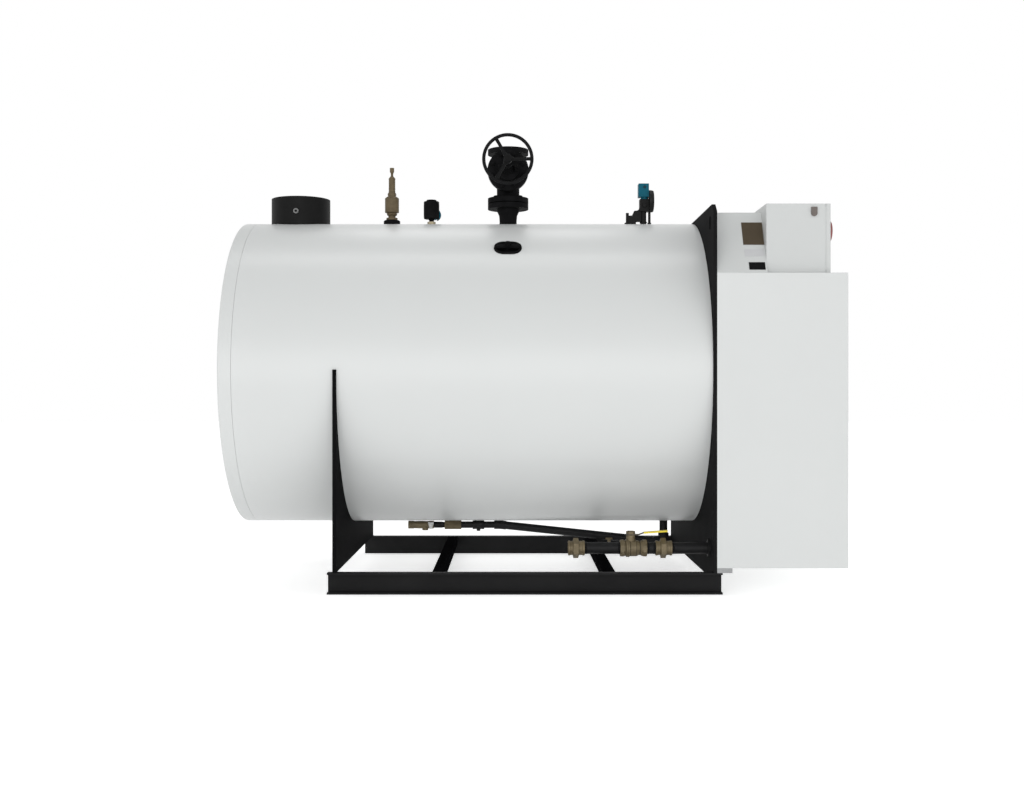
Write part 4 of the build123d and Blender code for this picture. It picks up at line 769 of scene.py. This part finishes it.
def drain_details():
    """Rims of the drain fittings and the handle's nut."""
    shape = Shape()
    low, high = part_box("drain_tee")
    z = middle_of("drain_coupling").z
    for x, axis in ((low.x, X), (high.x, -X)):
        shape.lathe((x, 0, z), axis, TEE_RIM, sides=32)
    shape.piece("drain_fitting_rims", LOOKS["pipe_black"], "boiler", "pipe_black")
    shape = Shape()
    handle_low, handle_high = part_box("drain_valve_handle")
    shape.nut(((handle_low.x + handle_high.x) / 2, handle_low.y, z), -Y, DRAIN_NUT_RADIUS, DRAIN_NUT_HEIGHT)
    shape.piece("drain_handle_nut", LOOKS["stem_steel"], "drain_handle", "stem_steel")
    shape = Shape()
    body_low, body_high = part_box("drain_valve_body")
    for x, axis in ((body_low.x, X), (body_high.x, -X)):
        shape.lathe((x, 0, z), axis, DRAIN_VALVE_END, HEXAGON)
    shape.piece("drain_valve_hexes", LOOKS["brass"], "boiler", "brass")


def drain_clip_screw():
    """Screw through the clip on the sloping drain pipe."""
    low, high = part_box("drain_pipe_clip")
    shape = Shape()
    shape.screw(((low.x + high.x) / 2, low.y + CLIP_SCREW_INSET, low.z), -Z, CLIP_SCREW_RADIUS,
                CLIP_SCREW_HEIGHT)
    shape.piece("drain_clip_screw", LOOKS["stem_steel"], "boiler", "stem_steel")


# Skid and sheet metal

CROSS_TUBE_SIDE = 40 * MM
WELD_INSET, TUBE_WELD_RADIUS = 3 * MM, 2 * MM


def weld_beads():
    """Beads that join the plates and cross tubes to the rails."""
    shape = Shape()
    rail_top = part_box("near_base_rail")[1].z
    for node in ("rear_saddle_plate", "front_plate"):
        low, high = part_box(node)
        for side in ("near_base_rail", "far_base_rail"):
            rail_low, rail_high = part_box(side)
            for x in (low.x, high.x):
                shape.bead((x, rail_low.y + WELD_INSET, rail_top), (x, rail_high.y - WELD_INSET, rail_top))
    low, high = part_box("cross_tubes")
    for x in (low.x, high.x - CROSS_TUBE_SIDE):
        for y in (low.y, high.y):
            shape.bead((x, y, low.z), (x + CROSS_TUBE_SIDE, y, low.z), TUBE_WELD_RADIUS)
            for end in (x, x + CROSS_TUBE_SIDE):
                shape.bead((end, y, low.z), (end, y, high.z - TUBE_WELD_RADIUS), TUBE_WELD_RADIUS)
    shape.piece("skid_welds", LOOKS["skid_black"], "boiler", "skid_black")


COVER_SCREWS, COVER_SCREW_START = 12, 15
COVER_BAND, COVER_SCREW_SINK = 30 * MM, 1 * MM
COVER_SCREW_RADIUS, COVER_SCREW_HEIGHT = 3.4 * MM, 1.0 * MM
PANEL_EDGE_Y, PANEL_EDGE_Z, PANEL_CLEAR = 25 * MM, 22 * MM, 30 * MM
PANEL_SCREW_SINK, PANEL_SCREW_RADIUS, PANEL_SCREW_HEIGHT = 1.2 * MM, 5 * MM, 1.1 * MM


def cover_screws():
    """Small screws round the rear cover's band and along the enclosure's edges."""
    shape = Shape()
    low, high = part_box("rear_cover")
    x = low.x + COVER_BAND
    for i in range(COVER_SCREWS):
        angle = math.radians(COVER_SCREW_START + 360 // COVER_SCREWS * i)
        out = Vector((0, math.sin(angle), math.cos(angle)))
        shape.screw(Vector((x, 0, AXIS_Z)) + out * (JACKET_RADIUS - COVER_SCREW_SINK), out,
                    COVER_SCREW_RADIUS, COVER_SCREW_HEIGHT)
    shape.piece("rear_cover_screws", LOOKS["jacket_white"], "boiler", "jacket_white")
    shape = Shape()
    low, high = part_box("enclosure_front_panel")
    for y in (low.y + PANEL_EDGE_Y, 0, high.y - PANEL_EDGE_Y):
        for z in (low.z + PANEL_EDGE_Z, (low.z + high.z) / 2, high.z - PANEL_EDGE_Z):
            if y == 0 and low.z + PANEL_CLEAR < z < high.z - PANEL_CLEAR:
                continue
            shape.screw((high.x - PANEL_SCREW_SINK, y, z), X, PANEL_SCREW_RADIUS, PANEL_SCREW_HEIGHT)
    shape.piece("front_panel_screws", LOOKS["stem_steel"], "boiler", "stem_steel")


LATCH_INSERT = in_mm((7.2, 0), (7.2, 0.3), (4, 0.3), (3.6, -2), (0, -2))
GASKET_INSET, GASKET_WIDTH, GASKET_EDGE = 0.6 * MM, 10 * MM, 0.3 * MM
GASKET_BACK, GASKET_FRONT = 0.2 * MM, 1.6 * MM
BACK_PLATE_STANDOFF, BACK_PLATE_THICKNESS, BACK_PLATE_EDGE = 14 * MM, 2 * MM, 0.6 * MM
BACK_PLATE_MARGIN_Y, BACK_PLATE_MARGIN_Z = 60 * MM, 18 * MM
RAIL_FRONT, RAIL_HALF_HEIGHT, RAIL_MARGIN, RAIL_EDGE = 9 * MM, 17 * MM, 90 * MM, 1 * MM
# Millimetres: height of each row of devices above the cabinet's floor, and their widths.
DEVICE_ROWS = ((70, (36, 36, 54, 54, 72, 36, 36, 90, 54)), (160, (90, 54, 54, 36, 72, 36, 54, 90)))
DEVICE_DEPTHS, DEVICE_GAP = (52, 64, 72), 4
DEVICE_START, DEVICE_HALF_HEIGHT, DEVICE_EDGE = 110 * MM, 32 * MM, 2 * MM
FACE_INSET, FACE_HALF_HEIGHT, FACE_DEPTH, FACE_EDGE = 6, 12 * MM, 16 * MM, 1.5 * MM


def cabinet_details():
    """Latch insert, door gasket, and the mounting plate and devices inside the cabinet."""
    low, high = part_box("cabinet_latch")
    radius = (high.x - low.x) / 2
    shape = Shape()
    centre = Vector(((low.x + high.x) / 2, low.y, low.z + radius))
    shape.lathe(centre, -Y, LATCH_INSERT, sides=32)
    shape.piece("latch_insert", LOOKS["latch_grey"], "boiler", "latch_grey")
    door_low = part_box("cabinet_door")[0]
    cabinet_low, cabinet_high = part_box("control_cabinet")
    shape = Shape()
    near, far = cabinet_low.y + GASKET_INSET, cabinet_high.y - GASKET_INSET
    foot, top = door_low.z + GASKET_INSET, cabinet_high.z - GASKET_INSET
    start, end = cabinet_high.x + GASKET_BACK, cabinet_high.x + GASKET_FRONT
    strips = (((near, foot), (near + GASKET_WIDTH, top)), ((far - GASKET_WIDTH, foot), (far, top)),
              ((near, foot), (far, foot + GASKET_WIDTH)), ((near, top - GASKET_WIDTH), (far, top)))
    for corner_low, corner_high in strips:
        shape.slab((start, *corner_low), (end, *corner_high), GASKET_EDGE)
    # The gasket takes the cabinet's darker white, which is painted shade.
    shape.piece("door_gasket", LOOKS["cabinet_shaded_white"], "cabinet_door", "enclosure_white")
    shape = Shape()
    plate_x = cabinet_low.x + BACK_PLATE_STANDOFF
    shape.slab((plate_x, cabinet_low.y + BACK_PLATE_MARGIN_Y, cabinet_low.z + BACK_PLATE_MARGIN_Z),
               (plate_x + BACK_PLATE_THICKNESS, cabinet_high.y - BACK_PLATE_MARGIN_Y,
                cabinet_high.z - BACK_PLATE_MARGIN_Z), BACK_PLATE_EDGE)
    rail_x = plate_x + RAIL_FRONT
    for level, _ in DEVICE_ROWS:
        z = cabinet_low.z + level * MM
        shape.slab((plate_x + BACK_PLATE_THICKNESS, cabinet_low.y + RAIL_MARGIN, z - RAIL_HALF_HEIGHT),
                   (rail_x, cabinet_high.y - RAIL_MARGIN, z + RAIL_HALF_HEIGHT), RAIL_EDGE)
    shape.piece("cabinet_back_plate", LOOKS["bracket_zinc"], "boiler", "bracket_zinc")
    shape = Shape()
    for level, widths in DEVICE_ROWS:
        y = cabinet_low.y + DEVICE_START
        for width in widths:
            z = cabinet_low.z + level * MM
            depth = random.choice(DEVICE_DEPTHS) * MM
            shape.slab((rail_x, y, z - DEVICE_HALF_HEIGHT),
                       (rail_x + depth, y + width * MM, z + DEVICE_HALF_HEIGHT), DEVICE_EDGE)
            shape.slab((plate_x + depth, y + FACE_INSET * MM, z - FACE_HALF_HEIGHT),
                       (plate_x + depth + FACE_DEPTH, y + (width - FACE_INSET) * MM, z + FACE_HALF_HEIGHT),
                       FACE_EDGE)
            y += (width + DEVICE_GAP) * MM
    shape.piece("cabinet_devices", LOOKS["relay_grey"], "boiler")


valve_bolting()
stem_threads()
wheel_details()
jacket_collars()
handhole_details()
safety_valve_details()
vent_details()
trim_details()
gauge_face()
feed_details()
thread_collars()
drain_details()
drain_clip_screw()
weld_beads()
cover_screws()
cabinet_details()


# Camera, floor and lights

camera = bpy.data.cameras.new("camera")
camera.sensor_width = SENSOR
camera.lens = FOCAL_PIXELS / PHOTO_WIDTH * SENSOR
camera_object = bpy.data.objects.new("camera", camera)
camera_object.location = CAMERA_PLACE
camera_object.rotation_euler = (math.radians(90), 0, 0)
scene = bpy.context.scene
scene.collection.objects.link(camera_object)
scene.camera = camera_object
scene.view_settings.view_transform = "Standard"
scene.view_settings.look = "None"

FLOOR_REACH, FLOOR_SIDES = 30.0, 96
FLOOR_DARK, FLOOR_LIGHT = (0.90, 0.90, 0.90), (0.93, 0.93, 0.93)
FLOOR_ROUGHNESS = 0.9
# Glow that lights the object, and glow that the camera sees.
FLOOR_GLOW, FLOOR_GLOW_SEEN = 0.32, 0.51


def make_floor():
    """Wide pale floor."""
    mesh = bpy.data.meshes.new("floor")
    angles = [math.tau * i / FLOOR_SIDES for i in range(FLOOR_SIDES)]
    rim = [(FLOOR_REACH * math.cos(angle), FLOOR_REACH * math.sin(angle), 0) for angle in angles]
    mesh.from_pydata(rim, [], [list(range(FLOOR_SIDES))])
    floor = bpy.data.objects.new("floor", mesh)
    scene.collection.objects.link(floor)
    material, tree, shader = new_material("floor")
    shade = spread(tree, noise(tree, scale=3.0, detail=4.0), low=0.0, high=1.0)
    tree.links.new(blend_colors(tree, shade, FLOOR_DARK, FLOOR_LIGHT), shader.inputs["Base Color"])
    shader.inputs["Roughness"].default_value = FLOOR_ROUGHNESS
    shader.inputs["Specular IOR Level"].default_value = 0.0
    shader.inputs["Emission Color"].default_value = (1, 1, 1, 1)
    rays = tree.nodes.new("ShaderNodeLightPath")
    strength = tree.nodes.new("ShaderNodeMapRange")
    strength.inputs["To Min"].default_value = FLOOR_GLOW
    strength.inputs["To Max"].default_value = FLOOR_GLOW_SEEN
    tree.links.new(rays.outputs["Is Camera Ray"], strength.inputs["Value"])
    tree.links.new(strength.outputs["Result"], shader.inputs["Emission Strength"])
    mesh.materials.append(material)


# Height of the sky's two tones on a scale from below to above, and their colours.
SKY_LOW, SKY_LOW_COLOR = 0.36, (1, 1, 1, 1)
SKY_HIGH, SKY_HIGH_COLOR = 0.8, (0.42, 0.425, 0.425, 1)


def make_world():
    """Studio sky: white at the horizon and dimmer overhead."""
    world = bpy.data.worlds.new("studio")
    scene.world = world
    world.use_nodes = True
    tree = world.node_tree
    tree.nodes.clear()
    place = tree.nodes.new("ShaderNodeTexCoord")
    split = tree.nodes.new("ShaderNodeSeparateXYZ")
    ramp = tree.nodes.new("ShaderNodeValToRGB")
    low, high = ramp.color_ramp.elements
    low.position, low.color = SKY_LOW, SKY_LOW_COLOR
    high.position, high.color = SKY_HIGH, SKY_HIGH_COLOR
    background = tree.nodes.new("ShaderNodeBackground")
    output = tree.nodes.new("ShaderNodeOutputWorld")
    tree.links.new(place.outputs["Generated"], split.inputs["Vector"])
    tree.links.new(split.outputs["Z"], ramp.inputs["Fac"])
    tree.links.new(ramp.outputs["Color"], background.inputs["Color"])
    tree.links.new(background.outputs["Background"], output.inputs["Surface"])
    background.inputs["Strength"].default_value = 1.0


def softbox(name, place, target, size, watts):
    """Rectangular area light that faces a point."""
    light = bpy.data.lights.new(name, "AREA")
    light.shape = "RECTANGLE"
    light.size, light.size_y = size
    light.energy = watts
    lamp = bpy.data.objects.new(name, light)
    lamp.location = place
    lamp.rotation_euler = (Vector(target) - Vector(place)).to_track_quat("-Z", "Y").to_euler()
    scene.collection.objects.link(lamp)


make_floor()
make_world()
softbox("front", place=(-0.5, -8.0, 1.3), target=(0, 0, 0.8), size=(7.0, 3.2), watts=127)
softbox("overhead", place=(0, -0.2, 4.6), target=(0, -0.2, 0), size=(3.8, 0.7), watts=23)
softbox("behind", place=(-0.3, 2.3, 4.3), target=(-0.3, 0, 1.3), size=(1.9, 1.3), watts=12)
